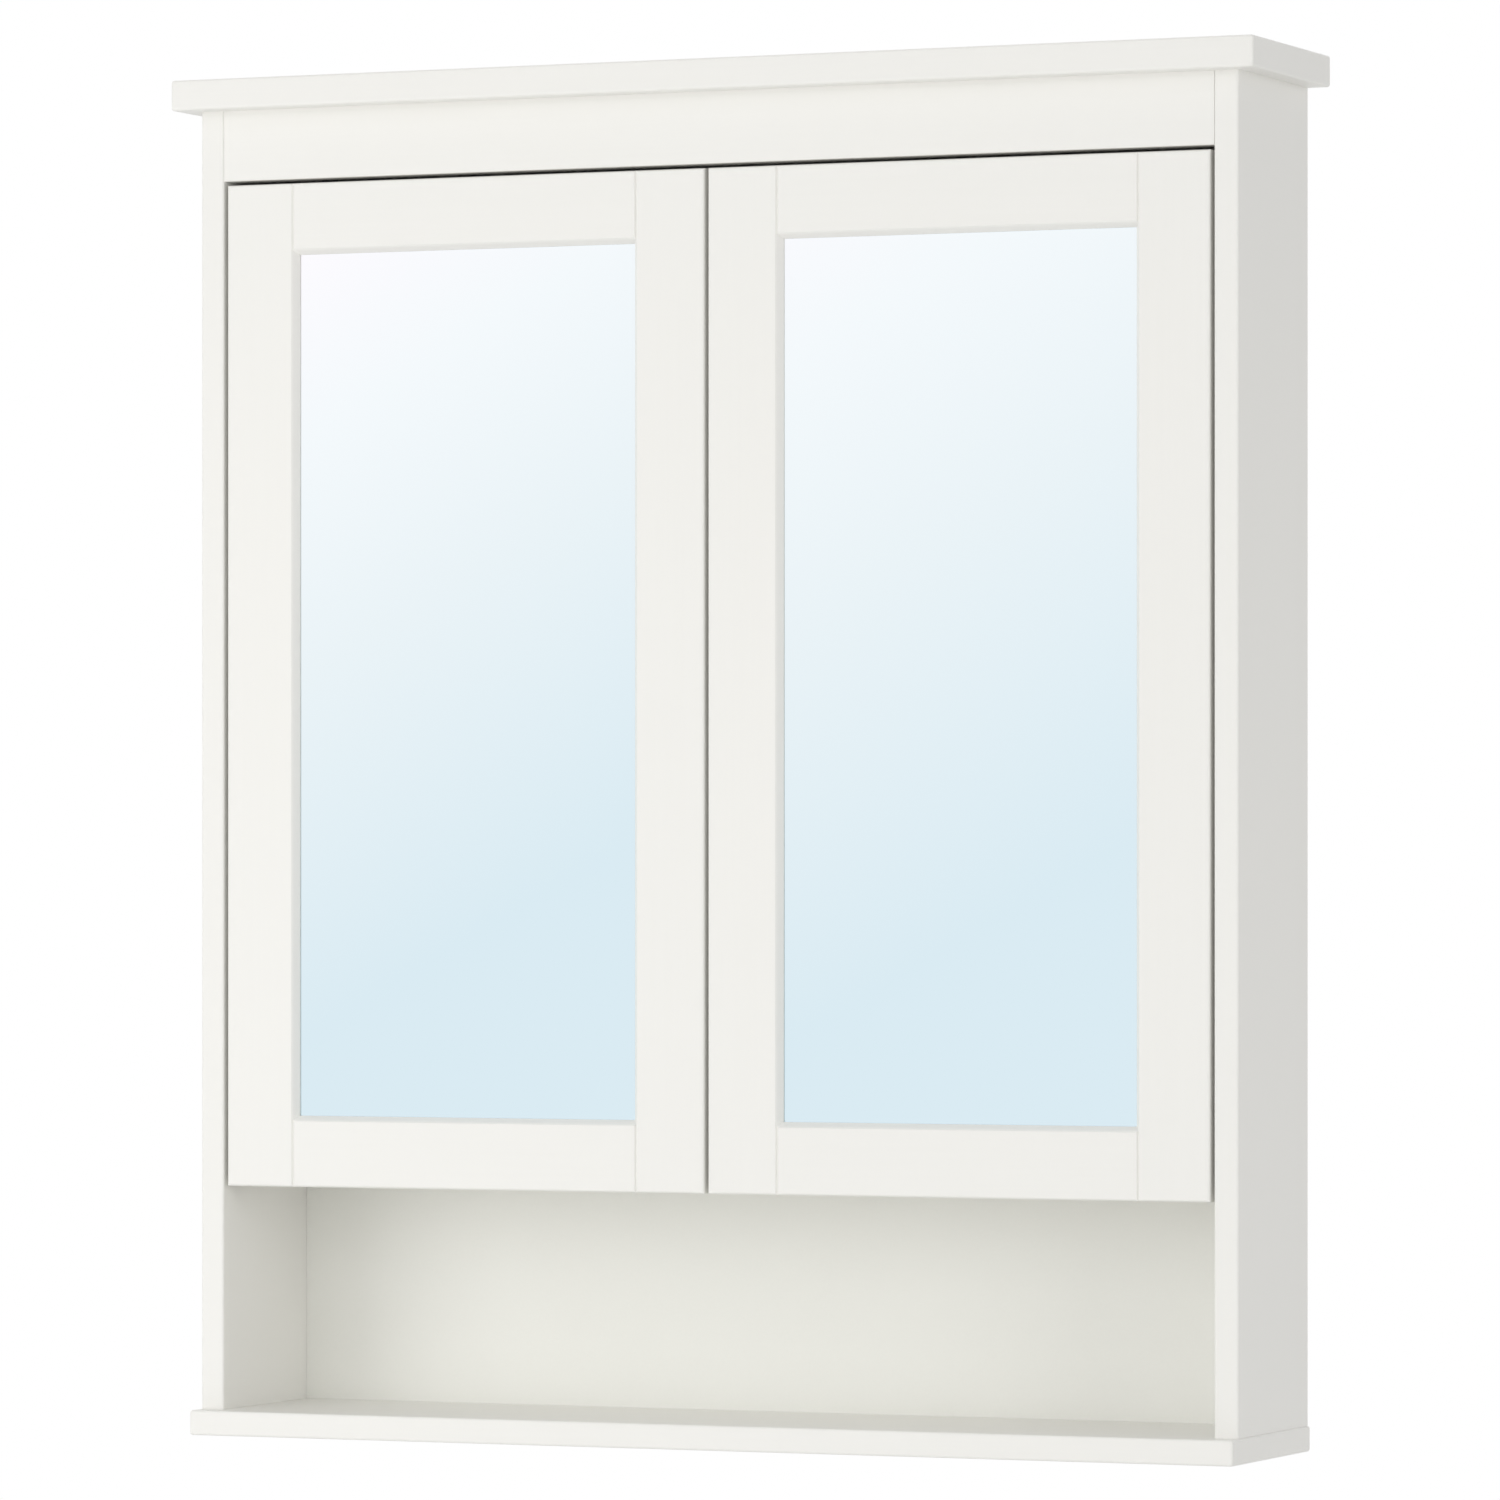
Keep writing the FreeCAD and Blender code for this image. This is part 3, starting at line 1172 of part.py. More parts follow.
def make_clip(name, at_x, at_z, turn):
    """A stepped clip from the frame's back down onto the backing board.

    Local X points to the door's middle and local Z along the frame's edge.
    """
    back = S["door_thickness"] + S["layer_play"] / 2
    seat = backing_back + S["layer_play"]
    half = S["clip_width"] / 2
    sheet_metal = S["clip_thickness"]
    bend = S["clip_play"]
    foot = box(name + "_foot", (-S["clip_foot"], sheet_metal + bend), (back, back + sheet_metal),
               (-half, half))
    web = box(name + "_web", (bend, sheet_metal + bend), (seat, back + sheet_metal),
              (-half, half))
    tongue = box(name + "_tongue", (bend, S["clip_tongue"]), (seat, seat + sheet_metal),
                 (-half, half))
    hole = cylinder(name + "_hole", clip_hole, sheet_metal + 2, -S["clip_foot"] / 2, back - 1,
                    ZERO, TO_Y)
    clip = cut(name + "_shape", fuse(name + "_blank", [foot, web, tongue]), [hole])
    return linked_copy(name, clip, at_x, front_y, at_z, turn)


def clip_spots(side):
    """Where each clip's bend stands, and how it is turned about Y."""
    spots = []
    for distance, way in ((rebate_wall, 1), (door_width - rebate_wall, -1)):
        x_way = -side * way
        turn = Rotation() if x_way > 0 else Rotation(Vector(0, 1, 0), 180)
        for height in clip_heights:
            spots.append((door_x(side, distance), door_bottom_z + height, turn))
    middle_x = door_x(side, door_width / 2)
    spots.append((middle_x, door_bottom_z + rail_rebate, Rotation(Vector(0, 1, 0), -90)))
    spots.append((middle_x, door_top_z - rail_rebate, Rotation(Vector(0, 1, 0), 90)))
    return spots


def make_door(name, side, clip_screw):
    """One framed mirror door."""
    make_stile(name, side, True)
    make_stile(name, side, False)
    make_door_rail(name, side, True)
    make_door_rail(name, side, False)
    make_door_sheet(f"{name}_door_mirror", side, mirror_front,
                    mirror_front + S["mirror_thickness"])
    make_door_sheet(f"{name}_door_backing_board", side, backing_front, backing_back)

    dowel = cylinder(f"{name}_door_dowel", S["dowel_radius"], S["dowel_grip"] * 2,
                     z=-S["dowel_grip"])
    dowels = []
    for distance in (rebate_wall, door_width - rebate_wall):
        for inset in DOOR_DOWELS:
            for z in (door_bottom_z + inset, door_top_z - inset):
                dowels.append((door_x(side, distance), from_front(door_dowel_depth), z, TO_X))
    copies(f"{name}_door_dowels", dowel, dowels)

    clips = []
    screws = []
    screw_y = from_front(S["door_thickness"] + S["layer_play"] + S["clip_thickness"])
    for number, (x, z, turn) in enumerate(clip_spots(side), start=1):
        clips.append(make_clip(f"{name}_clip{number}", x, z, turn))
        way = turn.multVec(Vector(-1, 0, 0))
        screws.append((x + S["clip_foot"] * round(way.x) * 0.5,
                       screw_y, z + S["clip_foot"] * round(way.z) * 0.5, TO_Y))
    group(f"{name}_door_backing_clips", clips)
    copies(f"{name}_door_clip_screws", clip_screw, screws)


# ---------------------------------------------------------------- build and write

def build():
    """Make every sub-part."""
    for name, side in SIDES:
        make_side_panel(name, side)
    make_top_panel()
    make_base_panel()
    make_cupboard_floor()
    make_front_rail()
    make_hanging_rail()
    make_back_panel()
    make_glass_shelf("lower_glass_shelf", LOWER_SHELF_ROW)
    make_glass_shelf("upper_glass_shelf", UPPER_SHELF_ROW)
    make_shelf_pins()
    make_cam_hardware()
    make_carcass_dowels()
    make_base_screws()
    make_bumpers()
    hardware_screw = make_screw("hinge_screw", S["wood_screw_head"], S["pan_head_height"],
                                S["wood_screw_radius"], S["wood_screw_length"], False)
    make_hinges(hardware_screw)
    clip_screw = make_screw("clip_screw", S["clip_screw_head"], S["pan_head_height"],
                            S["clip_screw_radius"], S["clip_screw_length"], False)
    for name, side in SIDES:
        make_door(name, side, clip_screw)
    doc.recompute()


def check():
    """Stop if anything failed, or if a pocket took nothing away."""
    for thing in doc.Objects:
        if "Invalid" in thing.State or "Error" in thing.State:
            raise RuntimeError(f"{thing.Label} did not build")
        if thing.TypeId == "PartDesign::Pocket":
            removed = thing.BaseFeature.Shape.Volume - thing.Shape.Volume
            if removed < 0.01:
                raise RuntimeError(f"{thing.Label} removes nothing")
    for thing in nodes:
        if thing.Shape.isNull() or not thing.Shape.isValid() or not thing.Shape.Solids:
            raise RuntimeError(f"{thing.Label} has no valid solid")


def write():
    """Write one STEP file for each sub-part."""
    os.makedirs("parts", exist_ok=True)
    for thing in nodes:
        thing.Shape.exportStep(f"parts/{thing.Label}.step")
    print(f"{len(nodes)} sub-parts, {sum(len(n.Shape.Solids) for n in nodes)} solids")


build()
check()
write()
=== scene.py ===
"""Looks of a two-door mirror cabinet that hangs on a wall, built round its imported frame.

Lengths are in metres, in the row frame. X points right, Y points into the wall and Z points up,
with the origin midway between the two wall-screw holes.
"""

import math
from collections import namedtuple

import bmesh
import bpy
from bpy.props import FloatProperty, FloatVectorProperty, PointerProperty
from mathutils import Matrix, Vector


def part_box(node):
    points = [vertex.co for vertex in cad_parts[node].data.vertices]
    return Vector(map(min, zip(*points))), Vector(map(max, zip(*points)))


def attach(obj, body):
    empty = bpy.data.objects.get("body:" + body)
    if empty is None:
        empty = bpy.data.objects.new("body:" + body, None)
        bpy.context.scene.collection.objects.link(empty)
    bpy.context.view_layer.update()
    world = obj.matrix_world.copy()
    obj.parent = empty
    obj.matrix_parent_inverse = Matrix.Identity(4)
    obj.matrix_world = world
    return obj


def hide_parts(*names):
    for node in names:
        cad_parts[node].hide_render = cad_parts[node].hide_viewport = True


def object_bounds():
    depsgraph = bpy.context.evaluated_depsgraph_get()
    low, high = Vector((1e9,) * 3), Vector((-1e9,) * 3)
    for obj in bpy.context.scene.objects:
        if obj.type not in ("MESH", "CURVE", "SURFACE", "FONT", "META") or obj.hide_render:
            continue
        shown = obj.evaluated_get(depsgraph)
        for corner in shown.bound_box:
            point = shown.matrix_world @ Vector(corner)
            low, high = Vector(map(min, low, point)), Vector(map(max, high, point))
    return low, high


bl_info = {
    "name": "Mirror cabinet looks",
    "version": (1, 0, 0),
    "blender": (4, 5, 0),
    "location": "3D View > Sidebar > Cabinet",
    "description": "Finishes and fine parts for a hanging cabinet with two mirror doors",
    "category": "Object",
}

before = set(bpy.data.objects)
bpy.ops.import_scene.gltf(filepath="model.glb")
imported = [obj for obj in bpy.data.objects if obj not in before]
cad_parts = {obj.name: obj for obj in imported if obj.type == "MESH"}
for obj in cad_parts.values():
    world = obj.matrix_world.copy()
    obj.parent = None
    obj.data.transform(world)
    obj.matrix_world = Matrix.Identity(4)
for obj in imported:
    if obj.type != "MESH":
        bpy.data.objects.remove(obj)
frame_low, frame_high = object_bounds()
frame_middle = (frame_low + frame_high) / 2

SIDES = ("left", "right")
BODY_OF_SIDE = {"left": "left_door", "right": "right_door"}
CABINET = "cabinet"
AXES = {"x": 0, "y": 1, "z": 2}

# Lengths that differ by less than CLOSE are the same. The other two are the least upward part
# of a level face's normal, and the most of an upright one's.
CLOSE = 1e-6
LEVEL = 0.9
UPRIGHT = 0.1

# How far the painted reflection, a gradient of mirrored light from white at the upper left to pale
# blue at the lower right, has already come at each mirror's upper left corner, as a share.
PAINTED_REFLECTION_LEADS = {"left": 0.0, "right": 0.1}

# How fine the wood grain is, across its run and along it.
ACROSS_GRAIN = 420
ALONG_GRAIN = 7

# The floor's radius, the width of the ring of faces round it, and its corners.
FLOOR_RADIUS = 3.6
FLOOR_RING = 0.4
FLOOR_CORNERS = 96

# Each light's place, from the cabinet's middle, and its width.
LIGHTS = {
    "left": ((-1.8, -2.2, -0.3), 1.6),
    "high": ((-1.2, -2.9, 2.0), 2.4),
    "front": ((0.0, -3.8, 0.4), 2.6),
    "side": ((3.4, -1.6, 0.2), 2.0),
    "back": ((0.0, 3.6, 0.6), 2.4),
    "top": ((0.0, 0.4, 3.0), 2.0),
}

CAMERA_SENSOR = 36
CAMERA_REACH = 100

# Sides of what is turned: screws, pins and bumpers.
TURNED_SIDES = 32

# The head height and shank radius of each kind of screw.
PLATE_SCREW = (0.0016, 0.0017)
ARM_SCREW = (0.002, 0.0024)
CUP_SCREW = (0.0016, 0.0017)
CLIP_SCREW = (0.0016, 0.0014)
BASE_SCREW = (0.0032, 0.0023)

# A screw's head, in shares of its height: its rim, the cone below a sunk rim, its rounding, and
# the dome above a raised rim in steps, each with how much of the width it keeps.
HEAD_RIM = 0.45
HEAD_CONE = 0.55
HEAD_ROUNDING = 0.07
HEAD_DOME = ((0.3, 0.86), (0.2, 0.74))

# A screw's tip, in shares of the length and of the shank's width.
TIP_LENGTH = 0.2
TIP_WIDTH = 0.15

# The cross: its reach in head radii, its depth in head heights, its half-width in reaches, and
# how much of its width is left at the bottom.
CROSS_REACH = 0.62
CROSS_DEPTH = 0.7
CROSS_HALF = 0.2
CROSS_TAPER = 0.55

# A shelf pin: its radius, how far it stands out of the side, its collar, and its roundings.
PIN_RADIUS = 0.0024
PIN_REACH = 0.008
PIN_COLLAR = 0.0012
PIN_NOSE_ROUNDING = 0.0009
PIN_COLLAR_ROUNDING = 0.00025

# A bumper: its stem, and its dome in steps, each with how much of the width it keeps.
BUMPER_STEM = 0.008
BUMPER_STEM_RADIUS = 0.0024
BUMPER_DOME = ((0.0006, 0.86), (0.0004, 0.7), (0.0002, 0.4))

CAM_ROUNDING = 0.00025

# Where a solid ends on its head's side, which way that is, its radius and its whole length.
Seat = namedtuple("Seat", "end direction radius length")


# ---------------------------------------------------------------- what a user may change

def color_property(name, description, default):
    """A colour that shows a swatch in the panel."""
    return FloatVectorProperty(name=name, description=description, default=default,
                               subtype="COLOR", size=3, min=0, max=1)


def length_property(name, description, default):
    """A length in metres."""
    return FloatProperty(name=name, description=description, default=default, min=0,
                         unit="LENGTH", precision=5)


def share_property(name, description, default):
    """A number from 0 to 1."""
    return FloatProperty(name=name, description=description, default=default, min=0, max=1,
                         subtype="FACTOR")


def power_property(name, description, default):
    """The power of a light, in watts."""
    return FloatProperty(name=name, description=description, default=default, min=0,
                         unit="POWER")


def angle_property(name, description, degrees):
    """An angle, given in degrees."""
    return FloatProperty(name=name, description=description, default=math.radians(degrees),
                         subtype="ANGLE")


class CabinetPaint(bpy.types.PropertyGroup):
    """The white paint of the boards and door frames."""

    color: color_property("Paint", "Colour of the paint", (0.872, 0.863, 0.828))
    shade: color_property("Paint in the grain", "Colour along the grain lines",
                          (0.866, 0.857, 0.821))
    board: color_property("Painted board", "Colour of the thin back boards",
                          (0.9, 0.9, 0.853))
    roughness: share_property("Roughness", "How dull the paint is", 0.42)
    grain_depth: length_property("Grain depth", "Depth of the grain under the paint", 0.000018)


class CabinetMirror(bpy.types.PropertyGroup):
    """The two mirrors and the glass shelves."""

    # These four colours, the reach and the tilt make a painted reflection: a gradient of mirrored
    # light, from white at the upper left to pale blue at the lower right, put into the mirrors'
    # own colour.
    high: color_property("Upper corner", "Tint at the mirror's upper left", (0.985, 0.966, 1.0))
    upper: color_property("Upper part", "Tint a quarter of the way down", (0.905, 0.948, 0.974))
    middle: color_property("Middle", "Tint halfway down", (0.823, 0.896, 0.930))
    low: color_property("Lower part", "Tint of the lower part", (0.701, 0.831, 0.896))
    reach: length_property("Reach", "Length over which the tint deepens", 0.577)
    tilt: FloatProperty(name="Tilt", default=0.545, min=0, max=2,
                        description="How fast the tint deepens to the right, as a share of down")
    roughness: share_property("Roughness", "Blur of the reflection", 0.02)
    arris: length_property("Arris", "Width of the ground edge", 0.0006)
    glass: color_property("Shelf glass", "Tint of the glass shelves", (0.93, 0.985, 0.965))


class CabinetHardware(bpy.types.PropertyGroup):
    """Hinges, screws, pins, cams and dowels."""

    steel: color_property("Nickelled steel", "Colour of the hinges", (0.74, 0.73, 0.70))
    zinc: color_property("Zinc", "Colour of the die-cast parts", (0.66, 0.67, 0.69))
    beech: color_property("Beech", "Colour of the dowels", (0.62, 0.42, 0.24))
    bumper: color_property("Bumper", "Colour of the soft bumpers", (0.86, 0.88, 0.88))
    edge: length_property("Pressed edge", "Rounding on hinges and clips", 0.00035)


class CabinetStage(bpy.types.PropertyGroup):
    """The room, its light and the camera."""

    floor_drop: length_property("Floor drop", "Floor below the cabinet", 1.2)
    floor: color_property("Floor", "Colour of the floor", (0.93, 0.93, 0.92))
    room_light: FloatProperty(name="Room light", default=0.44, min=0,
                              description="Strength of the even light from all round")
    left_power: power_property("Left light", "Power of the near light in front, left", 19)
    high_power: power_property("High light", "Power of the light in front, high left", 16.5)
    front_power: power_property("Front light", "Power of the light straight in front", 25)
    side_power: power_property("Side light", "Power of the light on the right", 27)
    back_power: power_property("Back light", "Power of the light behind", 30)
    top_power: power_property("Top light", "Power of the light overhead", 14)
    camera_distance: length_property("Camera distance", "Camera to the middle, level", 5.7592)
    camera_bearing: angle_property("Camera bearing",
                                   "Where the camera stands, round from the front", 23.178)
    camera_heading: angle_property("Camera heading", "Where the camera looks", 23.117)
    camera_drop: length_property("Camera drop", "Camera below the cabinet's middle", 0.0829)
    camera_lens: FloatProperty(name="Lens", default=193.9, min=1, unit="CAMERA",
                               description="Focal length")
    camera_shift: FloatProperty(name="Shift", default=0.0814,
                                description="Vertical shift that keeps the uprights upright")


# ---------------------------------------------------------------- materials

class Finish:
    """One procedural material, with short ways to add and join its nodes."""

    def __init__(self, name):
        self.material = bpy.data.materials.new(name)
        self.material.use_nodes = True
        self.tree = self.material.node_tree
        self.tree.nodes.clear()
        self.shader = self.add("ShaderNodeBsdfPrincipled")
        output = self.add("ShaderNodeOutputMaterial")
        self.join(self.shader.outputs["BSDF"], output.inputs["Surface"])

    def add(self, kind, **settings):
        made = self.tree.nodes.new(kind)
        for name, value in settings.items():
            setattr(made, name, value)
        return made

    def join(self, output, socket):
        self.tree.links.new(output, socket)

    def feed(self, name, output):
        """Lead an output into one of the shader's own sockets."""
        self.join(output, self.shader.inputs[name])

    def set(self, **values):
        """Set the shader's own sockets, named with underscores for spaces."""
        for name, value in values.items():
            self.shader.inputs[name.replace("_", " ")].default_value = value

    def place(self, scale=(1, 1, 1), start=(0, 0, 0)):
        """Object coordinates from a start point, stretched along each axis."""
        source = self.add("ShaderNodeTexCoord")
        mapping = self.add("ShaderNodeMapping")
        mapping.inputs["Scale"].default_value = scale
        mapping.inputs["Location"].default_value = [-s * k for s, k in zip(start, scale)]
        self.join(source.outputs["Object"], mapping.inputs["Vector"])
        return mapping.outputs["Vector"]

    def noise(self, vector, scale, detail, roughness=0.5):
        """Soft mottling, as a number from 0 to 1."""
        texture = self.add("ShaderNodeTexNoise")
        texture.inputs["Scale"].default_value = scale
        texture.inputs["Detail"].default_value = detail
        texture.inputs["Roughness"].default_value = roughness
        self.join(vector, texture.inputs["Vector"])
        return texture.outputs["Fac"]

    def spread(self, factor, low, high, start=0.3, end=0.7):
        """A number between low and high as a factor goes from start to end."""
        spread = self.add("ShaderNodeMapRange")
        for name, value in (("From Min", start), ("From Max", end), ("To Min", low),
                            ("To Max", high)):
            spread.inputs[name].default_value = value
        self.join(factor, spread.inputs["Value"])
        return spread.outputs["Result"]

    def ramp(self, factor, stops):
        """Colours at places along a factor, as (place, colour)."""
        ramp = self.add("ShaderNodeValToRGB")
        elements = ramp.color_ramp.elements
        while len(elements) < len(stops):
            elements.new(0.5)
        for element, (position, color) in zip(elements, stops):
            element.position = position
            element.color = (*color, 1)
        self.join(factor, ramp.inputs["Fac"])
        return ramp.outputs["Color"]

    def mottle(self, factor, base, dark, start, end):
        """Colour that goes from a darker share of the base, where a factor starts, to the base."""
        low = [part * dark for part in base]
        self.feed("Base Color", self.ramp(factor, [(start, low), (end, base)]))

    def bump(self, height, distance, strength):
        """Raise the surface by a height map."""
        bump = self.add("ShaderNodeBump")
        bump.inputs["Distance"].default_value = distance
        bump.inputs["Strength"].default_value = strength
        self.join(height, bump.inputs["Height"])
        self.feed("Normal", bump.outputs["Normal"])

    def sum(self, first, second, share):
        """The first number plus a share of the second."""
        total = self.add("ShaderNodeMath", operation="MULTIPLY_ADD")
        self.join(second, total.inputs[0])
        total.inputs[1].default_value = share
        self.join(first, total.inputs[2])
        return total.outputs["Value"]


def white_paint(name, grain_axis, settings):
    """Satin paint over fine wood grain that runs along one axis."""
    finish = Finish(name)
    scale = [ALONG_GRAIN if axis == grain_axis else ACROSS_GRAIN for axis in AXES]
    lines = finish.noise(finish.place(scale), scale=1, detail=5, roughness=0.55)
    peel = finish.noise(finish.place(), scale=900, detail=2)
    clouds = finish.noise(finish.place(), scale=5, detail=2)
    tone = finish.sum(lines, clouds, share=0.6)
    finish.feed("Base Color", finish.ramp(tone, [(0.55, settings.shade), (0.95, settings.color)]))
    middle, swing = settings.roughness, 0.06
    finish.feed("Roughness", finish.spread(lines, low=middle - swing, high=middle + swing))
    finish.bump(finish.sum(lines, peel, share=0.35), settings.grain_depth, strength=0.6)
    finish.set(Specular_IOR_Level=0.45, Coat_Weight=0.08, Coat_Roughness=0.25)
    return finish.material


def painted_board(settings):
    """Thin hardboard with a rolled coat of white paint."""
    finish = Finish("painted_board")
    rolled = finish.noise(finish.place(), scale=520, detail=4, roughness=0.6)
    clouds = finish.noise(finish.place(), scale=6, detail=2)
    tone = finish.sum(rolled, clouds, share=0.7)
    finish.mottle(tone, settings.board, dark=0.985, start=0.6, end=1)
    finish.feed("Roughness", finish.spread(rolled, low=0.42, high=0.56))
    finish.bump(rolled, distance=0.00003, strength=0.5)
    finish.set(Specular_IOR_Level=0.4)
    return finish.material


def mirror_glass(name, low, high, reflection_lead, settings):
    """Silvered glass with a painted reflection in its colour, which deepens from white at the
    upper left to pale blue at the lower right.

    The lead is how far the painted reflection has already come at the upper left corner, as a
    share.
    """
    finish = Finish(name)
    place = finish.place(start=(low.x, 0, high.z))
    split = finish.add("ShaderNodeSeparateXYZ")
    finish.join(place, split.inputs["Vector"])
    across = finish.add("ShaderNodeMath", operation="MULTIPLY")
    across.inputs[1].default_value = settings.tilt
    finish.join(split.outputs["X"], across.inputs[0])
    down = finish.add("ShaderNodeMath", operation="SUBTRACT")
    finish.join(across.outputs["Value"], down.inputs[0])
    finish.join(split.outputs["Z"], down.inputs[1])
    share = finish.spread(down.outputs["Value"], low=reflection_lead, high=1, start=0, end=settings.reach)
    # Painted reflection: the mirrored gradient of light goes into the base colour.
    finish.feed("Base Color", finish.ramp(share, [(0, settings.high), (0.25, settings.upper),
                                                  (0.55, settings.middle), (1, settings.low)]))
    haze = finish.noise(finish.place(), scale=40, detail=3)
    blur = settings.roughness
    finish.feed("Roughness", finish.spread(haze, low=blur * 0.6, high=blur * 1.4))
    finish.set(Metallic=1)
    return finish.material


def clear_glass(settings):
    """Toughened glass with a faint green body and clean polished faces."""
    finish = Finish("clear_glass")
    smears = finish.noise(finish.place(), scale=18, detail=4)
    finish.mottle(smears, settings.glass, dark=0.985, start=0.3, end=0.7)
    finish.feed("Roughness", finish.spread(smears, low=0, high=0.03))
    finish.set(Transmission_Weight=1, IOR=1.5)
    return finish.material


def pressed_steel(name, base, roughness=0.24):
    """Bright plating with fine rolling lines."""
    finish = Finish(name)
    lines = finish.noise(finish.place((900, 900, 60)), scale=1, detail=4, roughness=0.6)
    blotches = finish.noise(finish.place(), scale=260, detail=3)
    tone = finish.sum(lines, blotches, share=0.5)
    finish.mottle(tone, base, dark=0.9, start=0.5, end=0.95)
    finish.feed("Roughness", finish.spread(lines, low=roughness - 0.06, high=roughness + 0.08))
    finish.bump(lines, distance=0.00001, strength=0.4)
    finish.set(Metallic=1)
    return finish.material


def cast_zinc(base):
    """Dull die-cast metal with a mottled skin."""
    finish = Finish("cast_zinc")
    cells = finish.add("ShaderNodeTexVoronoi")
    cells.inputs["Scale"].default_value = 420
    finish.join(finish.place(), cells.inputs["Vector"])
    grain = finish.noise(finish.place(), scale=1500, detail=3)
    tone = finish.sum(grain, cells.outputs["Distance"], share=0.4)
    finish.mottle(tone, base, dark=0.84, start=0.4, end=0.9)
    finish.feed("Roughness", finish.spread(grain, low=0.38, high=0.55))
    finish.bump(grain, distance=0.00003, strength=0.6)
    finish.set(Metallic=1)
    return finish.material


def raw_beech(base):
    """Bare turned beech with short dark flecks."""
    finish = Finish("raw_beech")
    flecks = finish.noise(finish.place((160, 1400, 1400)), scale=1, detail=3)
    bands = finish.noise(finish.place((40, 400, 400)), scale=1, detail=3)
    tone = finish.sum(flecks, bands, share=0.6)
    finish.mottle(tone, base, dark=0.72, start=0.5, end=0.8)
    finish.feed("Roughness", finish.spread(flecks, low=0.55, high=0.75))
    finish.bump(flecks, distance=0.00008, strength=0.5)
    return finish.material


def soft_plastic(base):
    """Milky soft plastic."""
    finish = Finish("soft_plastic")
    haze = finish.noise(finish.place(), scale=700, detail=3)
    finish.mottle(haze, base, dark=0.93, start=0.3, end=0.7)
    finish.feed("Roughness", finish.spread(haze, low=0.22, high=0.34))
    finish.set(Transmission_Weight=0.55, IOR=1.45, Subsurface_Weight=0.2)
    return finish.material


def pale_floor(base):
    """A matt floor with faint clouds."""
    finish = Finish("pale_floor")
    clouds = finish.noise(finish.place(), scale=2.5, detail=3)
    finish.mottle(clouds, base, dark=0.985, start=0.3, end=0.7)
    finish.set(Roughness=0.8)
    return finish.material


def dress(thing, material):
    """Give an object one material all over."""
    thing.data.materials.clear()
    thing.data.materials.append(material)


def dress_nodes(names, material):
    """Give CAD nodes one material."""
    for name in names:
        dress(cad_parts[name], material)


# ---------------------------------------------------------------- modelling helpers

def start_alone(thing):
    """Make one object the only selected and the active one."""
    bpy.ops.object.select_all(action="DESELECT")
    thing.select_set(True)
    bpy.context.view_layer.objects.active = thing


def select_parts(thing, kind, wanted):
    """In edit mode, select only the faces or edges that a test accepts."""
    bpy.ops.mesh.select_mode(type=kind)
    bpy.ops.mesh.select_all(action="DESELECT")
    mesh = bmesh.from_edit_mesh(thing.data)
    chosen = [part for part in (mesh.faces if kind == "FACE" else mesh.edges) if wanted(part)]
    if not chosen:
        raise RuntimeError(f"{thing.name} has nothing to shape there")
    for part in chosen:
        part.select_set(True)
    bmesh.update_edit_mesh(thing.data)


def select_faces(thing, wanted):
    select_parts(thing, "FACE", wanted)


def select_edges(thing, wanted):
    select_parts(thing, "EDGE", wanted)


def faces_at(height, upward=True):
    """A test for the flat faces at one height."""
    def is_there(face):
        aim = face.normal.z if upward else -face.normal.z
        return aim > LEVEL and abs(face.calc_center_median().z - height) < CLOSE

    return is_there


def draw_out(rise, scale=None):
    """Draw the selected faces out, up or down, and narrow their ends by a scale."""
    bpy.ops.mesh.extrude_region_move(TRANSFORM_OT_translate={"value": (0, 0, rise)})
    if scale is not None:
        bpy.ops.transform.resize(value=(scale, scale, 1), center_override=(0, 0, 0))


def apply_modifiers(thing):
    start_alone(thing)
    for modifier in list(thing.modifiers):
        bpy.ops.object.modifier_apply(modifier=modifier.name)


def apply_place():
    """Move the selected objects' place, turn and scale into their meshes."""
    bpy.ops.object.transform_apply(location=True, rotation=True, scale=True)


def round_edges(thing, width, least_angle):
    """Round the edges where faces meet at a greater angle, in degrees."""
    bevel = thing.modifiers.new("rounding", "BEVEL")
    bevel.width = width
    bevel.segments = 2
    bevel.limit_method = "ANGLE"
    bevel.angle_limit = math.radians(least_angle)
    apply_modifiers(thing)


def shade_smooth(degrees):
    """Shade the selected objects smooth, and keep the edges sharper than this."""
    bpy.ops.object.shade_smooth_by_angle(angle=math.radians(degrees))


def solids_of(node):
    """The lowest and highest corner of each separate solid of a CAD node."""
    mesh = bmesh.new()
    mesh.from_mesh(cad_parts[node].data)
    bmesh.ops.remove_doubles(mesh, verts=mesh.verts, dist=CLOSE)
    unseen = set(mesh.verts)
    boxes = []
    while unseen:
        group = [unseen.pop()]
        for vertex in group:
            for edge in vertex.link_edges:
                other = edge.other_vert(vertex)
                if other in unseen:
                    unseen.remove(other)
                    group.append(other)
        low = Vector([min(v.co[axis] for v in group) for axis in range(3)])
        high = Vector([max(v.co[axis] for v in group) for axis in range(3)])
        boxes.append((low, high))
    mesh.free()
    return sorted(boxes, key=lambda pair: tuple(round(part, 4) for part in pair[0]))


def softened_copy(node, name, width):
    """A copy of a CAD node with merged flat faces, rounded edges and even shading."""
    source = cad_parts[node]
    piece = bpy.data.objects.new(name, source.data.copy())
    bpy.context.scene.collection.objects.link(piece)
    start_alone(piece)
    bpy.ops.object.mode_set(mode="EDIT")
    bpy.ops.mesh.select_all(action="SELECT")
    bpy.ops.mesh.remove_doubles(threshold=CLOSE)
    bpy.ops.mesh.dissolve_limited(angle_limit=math.radians(1))
    bpy.ops.object.mode_set(mode="OBJECT")
    round_edges(piece, width, least_angle=40)
    shade_smooth(35)
    even = piece.modifiers.new("even_normals", "WEIGHTED_NORMAL")
    even.keep_sharp = True
    apply_modifiers(piece)
    return piece


